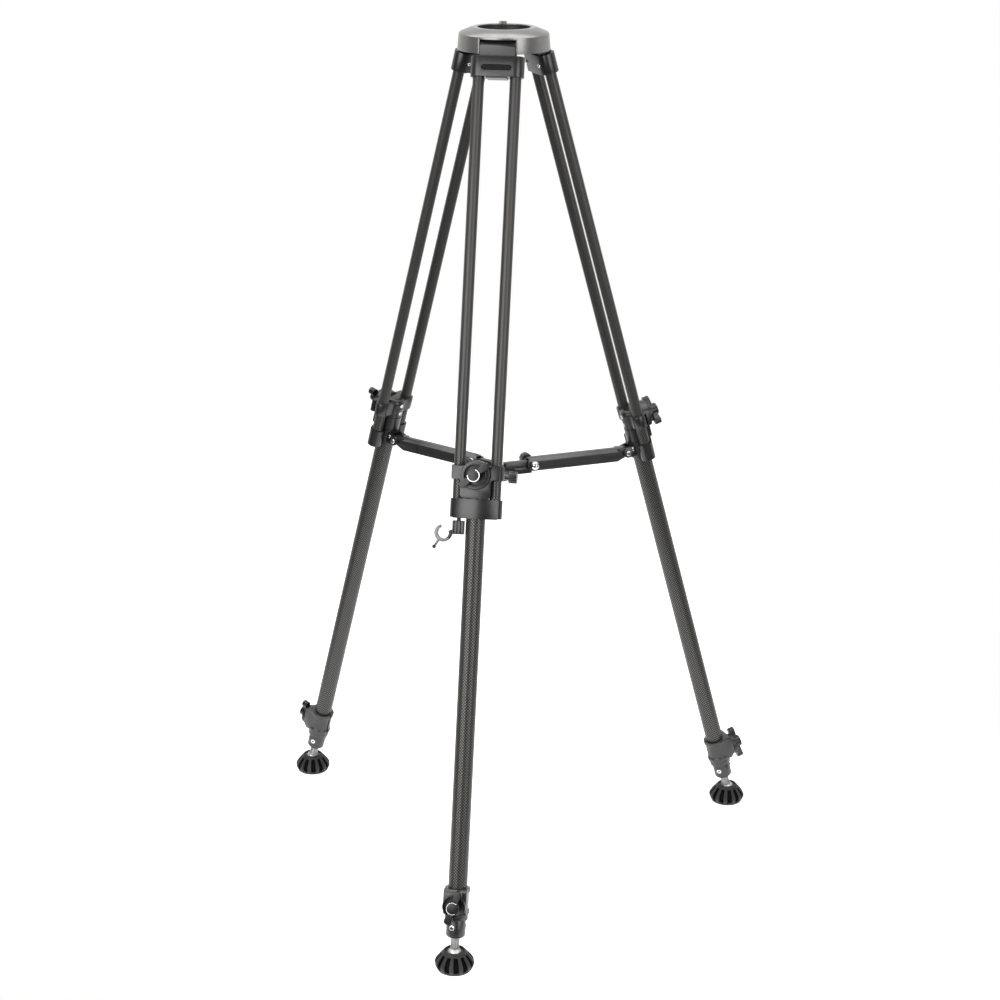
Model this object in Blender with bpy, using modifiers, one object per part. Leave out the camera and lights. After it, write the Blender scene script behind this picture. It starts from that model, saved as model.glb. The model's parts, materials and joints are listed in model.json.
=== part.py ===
"""Video tripod with a 75 mm bowl, twin-tube carbon legs, a mid-level spreader and tilting feet.

Units are metres and +Z is up.  The origin is on the floor, under the middle of the tripod's box.
Each leg is modelled once in its own frame (pivot at the origin, +Z up the leg, +Y towards the
tripod's axis) and placed three times.
"""

import math

import bmesh
import bpy
from mathutils import Matrix, Vector

# Fits
GAP = 0.0003
SIDES_LARGE = 48
SIDES_TUBE = 20
SIDES_SMALL = 12

# Stance
SPLAY = math.radians(16.17)
PIVOT_RADIUS = 0.0483
LEG_LENGTH = 1.2666
BALL_HEIGHT = 0.023
LEG_TURNS = {"front": 0.0, "right": math.radians(120), "left": math.radians(-120)}

# Crown casting and bowl
BOWL_RADIUS = 0.0375
RIM_LAND_RADIUS = 0.045
RIM_LIP = 0.002
CROWN_TOP_RADIUS = 0.0637
CROWN_BOTTOM_RADIUS = 0.0657
CROWN_CHAMFER = 0.007
CROWN_HEIGHT = 0.031
SEAT_WALL = 0.003
SEAT_DEPTH = 0.027
PIVOT_DROP = 0.0217
WINDOW_WIDTH = 0.051
TAB_SIZE = (0.011, 0.004, 0.003)
TAB_TURN = math.radians(11)
HINGE_PIN_RADIUS = 0.004
HINGE_PIN_LENGTH = 0.062

# Yoke
YOKE_BARREL_RADIUS = 0.010
YOKE_SIDE_GAP = 0.0005
YOKE_WIDTH = 0.075
YOKE_DEPTH = 0.026
YOKE_NECK_DEPTH = 0.020
YOKE_TOP = -0.0145
YOKE_BOTTOM = -0.043
YOKE_LIP = 0.002
YOKE_LIP_WIDTH = 0.028
LABEL_WIDTH = 0.044
LABEL_HEIGHT = 0.009
LABEL_DEPTH = 0.0008
LABEL_LEVEL = -0.0305
SOCKET_DEPTH = 0.024
YOKE_EDGE = 0.001

# Tubes
TWIN_RADIUS = 0.008
TWIN_SPACING = 0.052
TWIN_WALL = 0.0015
MID_RADIUS = 0.0135
MID_WALL = 0.0018
INNER_WALL = 0.0015
INNER_LENGTH = 0.42

# Collar at the foot of the twin tubes
COLLAR_TOP = -0.6265
COLLAR_HEIGHT = 0.0275
COLLAR_BULGE = 0.017
COLLAR_RING_RADIUS = 0.0107
COLLAR_BACK_RADIUS = 0.0165
COLLAR_FLOOR = 0.004
COLLAR_EDGE = 0.0015

# Fork and arm pivot on the inner side of the collar
ARM_PIVOT_DEPTH = 0.024
ARM_PIVOT_LEVEL = -0.6396
FORK_CHEEK = 0.004
FORK_HEIGHT = 0.017
FORK_NOSE = 0.0075
PIN_HEAD_RADIUS = 0.0042
PIN_HEAD_HEIGHT = 0.0022
PIN_RADIUS = 0.003

# Slider that carries the middle tube
SLEEVE_RADIUS = 0.0112
SLEEVE_TOP = -0.580
SLEEVE_HEIGHT = 0.020
SLIDER_RADIUS = 0.0165
SLIDER_TOP = -0.576
APRON_HALF = 0.0215
APRON_FRONT = 0.0165
APRON_THICKNESS = 0.006
APRON_CORNER = 0.006
APRON_FILLET = 0.004
SHOULDER_INSET = 0.004
BOSS_RADIUS = 0.0205
BOSS_LEVEL = -0.593
BOSS_FRONT = 0.0235
MID_TUBE_TOP = -0.590

# Wing knobs
KNOB_BASE_RADIUS = 0.0165
KNOB_BASE_HEIGHT = 0.005
KNOB_WING_HEIGHT = 0.009
KNOB_CAP_RADIUS = 0.0092
KNOB_CAP_HEIGHT = 0.003
MID_WING_SPAN = 0.050
LOW_WING_SPAN = 0.050
WING_WIDTH = 0.011
MID_WING_TURN = math.radians(41)
LOW_WING_TURN = math.radians(71)
KNOB_STEM_RADIUS = 0.004
KNOB_STEM_LENGTH = 0.006

# Low clamp
FOOT_REACH = 0.0946
LOW_HEIGHT = 0.046
LOW_RADIUS = 0.018
LOW_NECK_HEIGHT = 0.009
LOW_NECK_RADIUS = 0.0165
LOW_BOX_HALF = 0.0165
LOW_BOX_FRONT = 0.0235
LOW_BOX_TRIM = 0.008
LOW_SLIT = 0.0025
LOW_STEP = 0.004
LOW_BAND = 0.006
LOW_WAIST = 0.0015
LOW_KNOB_DROP = 0.023

# Foot
PLUG_RADIUS = 0.0137
PLUG_HEIGHT = 0.025
PLUG_CHAMFER = 0.003
PLUG_SPIGOT = 0.015
PLUG_DROP = 0.0005
STUD_RADIUS = 0.0065
STUD_GRIP = 0.009
BALL_RADIUS = 0.010
CUP_WALL = 0.0022
CUP_TOP = 0.004
PAD_BASE_RADIUS = 0.024
PAD_RADIUS = 0.0281
PAD_WIDEST = 0.010
PAD_TOP_RADIUS = 0.0142
PAD_TOP = 0.0295
PAD_RIM = 0.005
PAD_FLUTES = 12
PAD_FLUTE_DEPTH = 0.003

# Spreader
ARM_WIDTH = 0.016
ARM_RISE = 0.007
ARM_FALL = 0.013
ARM_TONGUE = 0.007
ARM_SHOULDER = 0.016
ARM_END_RADIUS = 0.010
ARM_WEB = 0.0025
ARM_WALL = 0.0025
ARM_CHANNEL_LENGTH = 0.062
ARM_SEAM = 0.046
ARM_SEAM_WIDTH = 0.001
ARM_SEAM_DEPTH = 0.0006
ARM_GROOVE_START = 0.068
ARM_GROOVE_END = 0.088
ARM_GROOVE_HEIGHT = 0.005
BOLT_CIRCLE = 0.050
BOLT_LEVEL = -0.003
BOLT_RADIUS = 0.003
WASHER_RADIUS = 0.006
WASHER_LENGTH = 0.0035
NECK_RADIUS = 0.004
NECK_LENGTH = 0.008
THUMB_RADIUS = 0.0087
THUMB_LENGTH = 0.012
NUT_BASE_RADIUS = 0.006
NUT_BASE_LENGTH = 0.0025
NUT_BALL_RADIUS = 0.0063
NUT_BALL_REACH = 0.0045
HUB_RADIUS = 0.020
HUB_TOP = 0.0006
HUB_THICKNESS = 0.0104
HUB_TIP_INSET = 0.002
HUB_DOME_RADIUS = 0.013
HUB_DOME_HEIGHT = 0.003
HUB_BOSS_RADIUS = 0.012
HUB_BOSS_HEIGHT = 0.006
HUB_RIB_HEIGHT = 0.009
HUB_RIB_INSET = 0.006

# Leg clip under the front collar
CLIP_STEM = (-0.023, -0.004)
CLIP_STEM_RADIUS = 0.0028
CLIP_STEM_LENGTH = 0.004
CLIP_BLOCK = (0.016, 0.012, 0.019)
CLIP_RIB_DEPTH = 0.001
CLIP_RIBS = 3
CLIP_INNER = 0.0095
CLIP_WALL = 0.0030
CLIP_WIDTH = 0.009
CLIP_OPEN_FROM = math.radians(62)
CLIP_OPEN_TO = math.radians(128)
CLIP_DROP = 0.018
CLIP_TAIL_LENGTH = 0.0110
CLIP_TAIL_ANGLE = math.radians(238)
CLIP_TAIL_RADIUS = 0.0015
CLIP_TAIL_BALL = 0.0028

# Derived places
FOOT_CIRCLE = PIVOT_RADIUS + LEG_LENGTH * math.sin(SPLAY)
PIVOT_HEIGHT = BALL_HEIGHT + LEG_LENGTH * math.cos(SPLAY)
RIM_HEIGHT = PIVOT_HEIGHT + PIVOT_DROP
AXIS_Y = FOOT_CIRCLE / 4
TWIN_X = TWIN_SPACING / 2
INNER_RADIUS = MID_RADIUS - MID_WALL - GAP
COLLAR_BOTTOM = COLLAR_TOP - COLLAR_HEIGHT
LOW_TOP = -LEG_LENGTH + FOOT_REACH
LOW_BOTTOM = LOW_TOP - LOW_HEIGHT
LOW_KNOB_LEVEL = LOW_TOP - LOW_KNOB_DROP
PLUG_TOP = LOW_BOTTOM - PLUG_DROP
ARM_PIVOT_RADIUS = PIVOT_RADIUS - ARM_PIVOT_LEVEL * math.sin(SPLAY) - ARM_PIVOT_DEPTH * math.cos(SPLAY)
ARM_PIVOT_HEIGHT = PIVOT_HEIGHT + ARM_PIVOT_LEVEL * math.cos(SPLAY) - ARM_PIVOT_DEPTH * math.sin(SPLAY)
ARM_REACH = ARM_PIVOT_RADIUS - BOLT_CIRCLE
BOLT_HEIGHT = ARM_PIVOT_HEIGHT + BOLT_LEVEL
CHANNEL_HALF = ARM_WIDTH / 2 - ARM_WALL

# Finishes: colour, roughness, metallic
FINISHES = {
    "cast_silver": ((0.30, 0.30, 0.28), 0.42, 0.75),
    "black_cast": ((0.030, 0.030, 0.031), 0.48, 0.0),
    "carbon": ((0.045, 0.044, 0.041), 0.38, 0.0),
    "arm_grey": ((0.060, 0.060, 0.060), 0.45, 0.2),
    "steel": ((0.62, 0.62, 0.61), 0.18, 1.0),
    "zinc": ((0.40, 0.40, 0.38), 0.40, 0.9),
    "rubber": ((0.016, 0.016, 0.017), 0.70, 0.0),
    "clip_grey": ((0.36, 0.37, 0.38), 0.35, 0.2),
}


def start_scene():
    """Empty the file and return the part collection and the bench for shapes being cut."""
    for old in list(bpy.data.objects):
        bpy.data.objects.remove(old, do_unlink=True)
    part = bpy.data.collections.new("tripod")
    cutters = bpy.data.collections.new("cutters")
    bpy.context.scene.collection.children.link(part)
    bpy.context.scene.collection.children.link(cutters)
    return part, cutters


PART, BENCH = start_scene()


def make_finishes():
    """One Principled material for each finish."""
    made = {}
    for name, (colour, roughness, metallic) in FINISHES.items():
        material = bpy.data.materials.new(name)
        material.use_nodes = True
        shader = material.node_tree.nodes["Principled BSDF"]
        shader.inputs["Base Color"].default_value = (*colour, 1.0)
        shader.inputs["Roughness"].default_value = roughness
        shader.inputs["Metallic"].default_value = metallic
        made[name] = material
    return made


MATERIALS = make_finishes()


def on_bench(data):
    """Put mesh or curve data on the bench as a working shape."""
    shape = bpy.data.objects.new("shape", data)
    shape.hide_render = True
    shape.display_type = "WIRE"
    BENCH.objects.link(shape)
    return shape


def settle(shape):
    """Return a plain mesh shape with the modifiers of the given one carried out."""
    graph = bpy.context.evaluated_depsgraph_get()
    mesh = bpy.data.meshes.new_from_object(shape.evaluated_get(graph))
    matrix = shape.matrix_world.copy()
    bpy.data.objects.remove(shape, do_unlink=True)
    mesh.transform(matrix)
    return on_bench(mesh)


def from_bmesh(bm):
    """Turn a bmesh into a working shape."""
    mesh = bpy.data.meshes.new("shape")
    bm.to_mesh(mesh)
    bm.free()
    return on_bench(mesh)


def block(low, high):
    """Box between two corners."""
    low = Vector(low)
    high = Vector(high)
    bm = bmesh.new()
    size = Matrix.Diagonal((*(high - low), 1.0))
    bmesh.ops.create_cube(bm, size=1.0, matrix=Matrix.Translation((low + high) / 2) @ size)
    return from_bmesh(bm)


def rod(radius, start, end, sides=SIDES_TUBE, end_radius=None):
    """Round bar or cone between two points."""
    start = Vector(start)
    end = Vector(end)
    line = end - start
    turn = line.to_track_quat("Z", "Y").to_matrix().to_4x4()
    bm = bmesh.new()
    bmesh.ops.create_cone(
        bm,
        cap_ends=True,
        segments=sides,
        radius1=radius,
        radius2=radius if end_radius is None else end_radius,
        depth=line.length,
        matrix=Matrix.Translation((start + end) / 2) @ turn,
    )
    return from_bmesh(bm)


def ball(radius, centre, sides=SIDES_SMALL):
    """Sphere at a point."""
    bm = bmesh.new()
    bmesh.ops.create_uvsphere(
        bm, u_segments=sides, v_segments=sides // 2, radius=radius, matrix=Matrix.Translation(Vector(centre))
    )
    return from_bmesh(bm)


def turned(profile, steps=SIDES_TUBE, ring=False):
    """Solid turned about Z from (radius, height) points that run down the outer side."""
    mesh = bpy.data.meshes.new("profile")
    points = [(radius, 0.0, height) for radius, height in profile]
    edges = [(index, index + 1) for index in range(len(points) - 1)]
    if ring:
        edges.append((len(points) - 1, 0))
    mesh.from_pydata(points, edges, [])
    shape = on_bench(mesh)
    screw = shape.modifiers.new("turn", "SCREW")
    screw.axis = "Z"
    screw.steps = steps
    screw.render_steps = steps
    screw.use_merge_vertices = True
    screw.merge_threshold = 0.00001
    screw.use_normal_calculate = True
    return face_outwards(settle(shape))


def face_outwards(shape):
    """Weld a shape's doubled points and point its faces outwards."""
    bm = bmesh.new()
    bm.from_mesh(shape.data)
    bmesh.ops.remove_doubles(bm, verts=bm.verts, dist=0.000005)
    bmesh.ops.recalc_face_normals(bm, faces=bm.faces)
    bm.to_mesh(shape.data)
    bm.free()
    return shape


def slab(outline, thickness, matrix=None):
    """Flat outline in X and Y, given thickness about its own plane, then moved by a matrix."""
    curve = bpy.data.curves.new("outline", "CURVE")
    curve.dimensions = "2D"
    curve.fill_mode = "BOTH"
    curve.extrude = thickness / 2
    spline = curve.splines.new("POLY")
    spline.points.add(len(outline) - 1)
    for point, (x, y) in zip(spline.points, outline):
        point.co = (x, y, 0.0, 1.0)
    spline.use_cyclic_u = True
    shape = face_outwards(settle(on_bench(curve)))
    if matrix is not None:
        shape.data.transform(matrix)
    return shape


def arc(centre, radius, start, end, steps):
    """Points on an arc from one angle to another."""
    turns = [start + (end - start) * index / steps for index in range(steps + 1)]
    return [(centre[0] + radius * math.cos(turn), centre[1] + radius * math.sin(turn)) for turn in turns]


def stadium(length, width, steps=8):
    """Outline with straight sides and round ends, long in X."""
    reach = (length - width) / 2
    right = arc((reach, 0.0), width / 2, -math.pi / 2, math.pi / 2, steps)
    left = arc((-reach, 0.0), width / 2, math.pi / 2, 3 * math.pi / 2, steps)
    return right + left


def boolean(shape, tools, operation):
    """Join or cut a shape with others, which are used up."""
    for tool in tools:
        step = shape.modifiers.new("step", "BOOLEAN")
        step.operation = operation
        step.solver = "EXACT"
        step.object = tool
    result = settle(shape)
    for tool in tools:
        bpy.data.objects.remove(tool, do_unlink=True)
    return result


def cut(shape, *tools):
    """Take the tools out of a shape."""
    return boolean(shape, tools, "DIFFERENCE")


def join(shape, *tools):
    """Join the tools to a shape as one body."""
    return boolean(shape, tools, "UNION")


def bevelled(shape, width, segments=2, angle=math.radians(40)):
    """Round a shape's sharp edges."""
    bevel = shape.modifiers.new("edges", "BEVEL")
    bevel.width = width
    bevel.segments = segments
    bevel.limit_method = "ANGLE"
    bevel.angle_limit = angle
    return settle(shape)


def pipe(radius, wall, low, high, x=0.0, sides=SIDES_TUBE):
    """Open tube along Z."""
    profile = [(radius, high), (radius, low), (radius - wall, low), (radius - wall, high)]
    shape = turned(profile, sides, ring=True)
    shape.data.transform(Matrix.Translation((x, 0.0, 0.0)))
    return shape


ACROSS = Matrix.Rotation(math.pi / 2, 4, "X")
SIDEWAYS = Matrix(((0, 0, 1, 0), (1, 0, 0, 0), (0, 1, 0, 0), (0, 0, 0, 1)))


def frame_at(name, location, rotation):
    """Empty that carries the pieces of one sub-assembly."""
    empty = bpy.data.objects.new(name, None)
    empty.location = location
    empty.rotation_euler = rotation
    PART.objects.link(empty)
    return empty


def place(name, shape, finish, parent):
    """Make a named piece from a shape's mesh, under a frame."""
    piece = bpy.data.objects.new(name, shape.data)
    if not shape.data.materials:
        shape.data.materials.append(MATERIALS[finish])
        shape.data.shade_smooth()
        shape.data.set_sharp_from_angle(angle=math.radians(35))
    piece.parent = parent
    PART.objects.link(piece)
    return piece


def around(shape_maker):
    """Three copies of a tool, one for each leg's direction about the tripod's axis."""
    tools = []
    for turn in LEG_TURNS.values():
        tool = shape_maker()
        tool.data.transform(Matrix.Rotation(turn, 4, "Z"))
        tools.append(tool)
    return tools


def make_crown():
    """Cast crown: a chamfered ring with a bowl hole, three windows for the yokes and pin holes."""
    bore = BOWL_RADIUS + SEAT_WALL + GAP
    profile = [
        (RIM_LAND_RADIUS, 0.0),
        (CROWN_TOP_RADIUS, -CROWN_CHAMFER),
        (CROWN_BOTTOM_RADIUS, -CROWN_HEIGHT),
        (bore, -CROWN_HEIGHT),
        (bore, -RIM_LIP),
        (BOWL_RADIUS, -RIM_LIP),
        (BOWL_RADIUS, 0.0),
    ]
    ceiling = -PIVOT_DROP + YOKE_BARREL_RADIUS + GAP
    half = WINDOW_WIDTH / 2

    def window():
        inner = -(PIVOT_RADIUS - YOKE_BARREL_RADIUS - 4 * GAP - BOWL_RADIUS / 4)
        return block((-half, -2 * CROWN_BOTTOM_RADIUS, -2 * CROWN_HEIGHT), (half, inner, ceiling))

    def pin_hole():
        reach = HINGE_PIN_LENGTH / 2 + GAP
        level = -PIVOT_DROP
        start = (-reach, -PIVOT_RADIUS, level)
        return rod(HINGE_PIN_RADIUS + GAP, start, (reach, -PIVOT_RADIUS, level), SIDES_SMALL)

    width, depth, height = TAB_SIZE
    tab_middle = RIM_LAND_RADIUS - depth / 2
    tab_low = (-width / 2, tab_middle - depth / 2, -RIM_LIP / 2)
    tab = block(tab_low, (width / 2, tab_middle + depth / 2, height))
    tab.data.transform(Matrix.Rotation(TAB_TURN, 4, "Z"))
    body = join(turned(profile, SIDES_LARGE, ring=True), tab)
    return cut(body, *around(window), *around(pin_hole))


def make_bowl_seat():
    """Black spherical seat under the crown's lip."""
    inner = BOWL_RADIUS
    outer = BOWL_RADIUS + SEAT_WALL
    top = -RIM_LIP - GAP
    steps = 5
    levels = [top + (-SEAT_DEPTH - top) * index / steps for index in range(steps + 1)]
    outside = [(math.sqrt(outer ** 2 - level ** 2), level) for level in levels]
    inside = [(math.sqrt(inner ** 2 - level ** 2), level) for level in reversed(levels)]
    return turned(outside + inside, SIDES_LARGE, ring=True)


def make_hinge_pin():
    """Hinge pin of a leg, held in the crown's lobes."""
    reach = HINGE_PIN_LENGTH / 2
    return rod(HINGE_PIN_RADIUS, (-reach, 0, 0), (reach, 0, 0), SIDES_SMALL)


def make_yoke():
    """Leg yoke: hinge barrel, neck and a block with two tube sockets and a bare label recess."""
    half_barrel = WINDOW_WIDTH / 2 - YOKE_SIDE_GAP
    half = YOKE_WIDTH / 2
    deep = YOKE_DEPTH / 2
    neck = YOKE_NECK_DEPTH / 2
    middle = Matrix.Translation((0.0, 0.0, (YOKE_TOP + YOKE_BOTTOM) / 2))
    body = slab(stadium(YOKE_WIDTH, YOKE_DEPTH), YOKE_TOP - YOKE_BOTTOM, middle)
    body = bevelled(body, YOKE_EDGE, 1, math.radians(60))
    barrel = rod(YOKE_BARREL_RADIUS, (-half_barrel, 0, 0), (half_barrel, 0, 0), SIDES_TUBE)
    neck_low = YOKE_TOP - YOKE_EDGE - GAP
    riser = block((-half_barrel + GAP, -neck + GAP, neck_low), (half_barrel - GAP, neck - GAP, -GAP))
    lip_half = YOKE_LIP_WIDTH / 2
    lip_deep = deep - 2 * YOKE_EDGE
    lip = block((-lip_half, -lip_deep, YOKE_BOTTOM - YOKE_LIP), (lip_half, lip_deep, YOKE_BOTTOM + YOKE_LIP))
    body = join(body, riser, barrel, lip)
    socket = TWIN_RADIUS + GAP
    floor = YOKE_BOTTOM + SOCKET_DEPTH + GAP
    below = YOKE_BOTTOM - 3 * YOKE_LIP
    sockets = [rod(socket, (side * TWIN_X, 0, below), (side * TWIN_X, 0, floor)) for side in (-1, 1)]
    recess_at = Matrix.Translation((0.0, -deep, LABEL_LEVEL)) @ ACROSS
    recess = slab(stadium(LABEL_WIDTH, LABEL_HEIGHT), 2 * LABEL_DEPTH, recess_at)
    bore = HINGE_PIN_RADIUS + GAP
    pin_bore = rod(bore, (-half, 0, 0), (half, 0, 0), SIDES_SMALL)
    return cut(body, pin_bore, recess, *sockets)


def make_upper_tube(side):
    """One of the twin carbon tubes from the yoke to the collar."""
    top = YOKE_BOTTOM + SOCKET_DEPTH
    low = COLLAR_BOTTOM + COLLAR_FLOOR
    return pipe(TWIN_RADIUS, TWIN_WALL, low, top, side * TWIN_X)


def collar_front():
    """Outline of the collar's front: a shallow arc that runs into the rings round the twin tubes."""
    rise = COLLAR_BULGE - COLLAR_RING_RADIUS
    radius = (TWIN_X ** 2 + COLLAR_BULGE ** 2 - COLLAR_RING_RADIUS ** 2) / (2 * rise)
    swing = math.atan2(TWIN_X, radius - COLLAR_BULGE)
    half = radius * math.sin(swing)
    down = -math.pi / 2
    front = arc((0.0, radius - COLLAR_BULGE), radius, down - swing, down + swing, 14)
    return front + [(half, 2 * COLLAR_EDGE), (-half, 2 * COLLAR_EDGE)]


def fork_half_width():
    """Half the distance over the fork's cheeks."""
    return ARM_WIDTH / 2 + GAP + FORK_CHEEK


def make_fork():
    """Two cheeks on the inner side of the collar that hold the spreader arm's pin."""
    outer = fork_half_width()
    inner = ARM_WIDTH / 2 + GAP
    level = ARM_PIVOT_LEVEL
    half_height = FORK_HEIGHT / 2
    root = COLLAR_BACK_RADIUS / 2
    nose = arc((ARM_PIVOT_DEPTH, level), FORK_NOSE, -math.pi / 2, math.pi / 2, 8)
    cheeks = slab(nose + [(root, level + half_height), (root, level - half_height)], 2 * outer, SIDEWAYS)
    reach = ARM_PIVOT_DEPTH + 2 * FORK_NOSE
    tall = 2 * FORK_HEIGHT
    mouth_back = ARM_PIVOT_DEPTH - ARM_TONGUE - GAP
    mouth = block((-inner, mouth_back, level - tall), (inner, reach, level + tall))
    hole = PIN_RADIUS + GAP
    pivot = rod(hole, (-2 * outer, ARM_PIVOT_DEPTH, level), (2 * outer, ARM_PIVOT_DEPTH, level), SIDES_SMALL)
    return cut(cheeks, mouth, pivot)


def make_collar():
    """Collar that closes the twin tubes, guides the middle tube and carries the arm's fork."""
    low = COLLAR_BOTTOM
    middle = Matrix.Translation((0.0, 0.0, COLLAR_TOP - COLLAR_HEIGHT / 2))
    front = bevelled(slab(collar_front(), COLLAR_HEIGHT, middle), COLLAR_EDGE, 1, math.radians(60))
    inset = COLLAR_EDGE / 2
    rings = [
        rod(COLLAR_RING_RADIUS, (side * TWIN_X, 0, low + inset), (side * TWIN_X, 0, COLLAR_TOP - inset))
        for side in (-1, 1)
    ]
    back = rod(COLLAR_BACK_RADIUS, (0, 0, low + inset / 2), (0, 0, COLLAR_TOP - inset / 2))
    body = join(front, back, make_fork(), *rings)
    above = COLLAR_TOP + COLLAR_FLOOR
    bore = rod(MID_RADIUS + GAP, (0, 0, low - COLLAR_FLOOR), (0, 0, above), SIDES_TUBE)
    floor = low + COLLAR_FLOOR - GAP
    socket = TWIN_RADIUS + GAP
    sockets = [rod(socket, (side * TWIN_X, 0, floor), (side * TWIN_X, 0, above)) for side in (-1, 1)]
    return cut(body, bore, *sockets)


def make_arm_pin():
    """Pin of the spreader arm, with a round head at each end."""
    head = fork_half_width() + GAP
    tip = head + PIN_HEAD_HEIGHT
    level = ARM_PIVOT_LEVEL
    pin = rod(PIN_RADIUS, (-head - GAP, ARM_PIVOT_DEPTH, level), (head + GAP, ARM_PIVOT_DEPTH, level), SIDES_SMALL)
    ends = []
    for side in (-1, 1):
        start = (side * head, ARM_PIVOT_DEPTH, level)
        ends.append(rod(PIN_HEAD_RADIUS, start, (side * tip, ARM_PIVOT_DEPTH, level), SIDES_SMALL))
    return join(pin, *ends)


def make_slider():
    """Slider: two sleeves on the twin tubes, a body over the middle tube, an apron and a knob boss."""
    sleeve_low = SLEEVE_TOP - SLEEVE_HEIGHT
    seat = COLLAR_TOP + GAP
    body = rod(SLIDER_RADIUS, (0, 0, seat), (0, 0, SLIDER_TOP), SIDES_TUBE)
    sleeves = [
        rod(SLEEVE_RADIUS, (side * TWIN_X, 0, sleeve_low), (side * TWIN_X, 0, SLEEVE_TOP)) for side in (-1, 1)
    ]
    bridge_deep = SLEEVE_RADIUS - 2 * GAP
    bridge_low = sleeve_low + 2 * GAP
    bridge = block((-TWIN_X, -bridge_deep, bridge_low), (TWIN_X, bridge_deep, SLEEVE_TOP - 2 * GAP))
    apron_low = seat + 2 * GAP
    corner = APRON_CORNER
    fillet = APRON_FILLET
    flank = APRON_HALF + fillet
    shoulder = TWIN_X + SLEEVE_RADIUS - SHOULDER_INSET
    left = arc((-APRON_HALF + corner, apron_low + corner), corner, math.pi, 1.5 * math.pi, 4)
    right = arc((APRON_HALF - corner, apron_low + corner), corner, 1.5 * math.pi, 2 * math.pi, 4)
    web_low = bridge_low + GAP
    right_web = arc((flank, web_low - fillet), fillet, math.pi, math.pi / 2, 4)
    left_web = arc((-flank, web_low - fillet), fillet, math.pi / 2, 0.0, 4)
    top = SLEEVE_TOP - 3 * GAP
    toe = web_low - fillet / 4
    corners = [(shoulder, toe), (shoulder, top), (-shoulder, top), (-shoulder, toe)]
    outline = left + right + right_web + corners + left_web
    apron_at = Matrix.Translation((0.0, -APRON_FRONT + APRON_THICKNESS / 2, 0.0)) @ ACROSS
    apron = slab(outline, APRON_THICKNESS, apron_at)
    boss = rod(BOSS_RADIUS, (0, -MID_RADIUS / 2, BOSS_LEVEL), (0, -BOSS_FRONT, BOSS_LEVEL), SIDES_TUBE)
    body = join(body, bridge, apron, boss, *sleeves)
    tall = SLEEVE_HEIGHT
    bores = [
        rod(TWIN_RADIUS + GAP, (side * TWIN_X, 0, COLLAR_TOP - tall), (side * TWIN_X, 0, SLEEVE_TOP + tall))
        for side in (-1, 1)
    ]
    tube_hole = rod(MID_RADIUS + GAP, (0, 0, COLLAR_TOP - tall), (0, 0, MID_TUBE_TOP + GAP))
    stem_hole = knob_stem(KNOB_STEM_RADIUS + GAP, KNOB_STEM_LENGTH + GAP, BOSS_FRONT, BOSS_LEVEL)
    return cut(body, tube_hole, stem_hole, *bores)


def knob_stem(radius, length, front, level):
    """Threaded stem of a knob, going back from the face that the knob seats on."""
    start = (0.0, -front + length, level)
    return rod(radius, start, (0.0, -front - 2 * GAP, level), SIDES_SMALL)


def make_knob(span, turn, front, level):
    """Wing knob with a round base, two wings and a cap, in front of a face."""
    base_back = front + GAP
    base_front = base_back + KNOB_BASE_HEIGHT
    wing_front = base_front + KNOB_WING_HEIGHT
    cap_front = wing_front + KNOB_CAP_HEIGHT
    base = rod(KNOB_BASE_RADIUS, (0, -base_back, 0), (0, -base_front, 0), SIDES_TUBE)
    wing_middle = (base_front + wing_front) / 2 - GAP
    wing_at = Matrix.Translation((0.0, -wing_middle, 0.0)) @ Matrix.Rotation(-turn, 4, "Y") @ ACROSS
    wings = slab(stadium(span, WING_WIDTH, 6), KNOB_WING_HEIGHT, wing_at)
    cap = rod(KNOB_CAP_RADIUS, (0, -base_front + GAP, 0), (0, -cap_front, 0), SIDES_TUBE)
    stem = knob_stem(KNOB_STEM_RADIUS, KNOB_STEM_LENGTH, front, 0.0)
    knob = join(base, wings, cap, stem)
    knob.data.transform(Matrix.Translation((0.0, 0.0, level)))
    return knob


def make_mid_tube():
    """Middle carbon tube from the slider to the low clamp."""
    return pipe(MID_RADIUS, MID_WALL, LOW_BOTTOM + LOW_STEP, MID_TUBE_TOP)


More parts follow.
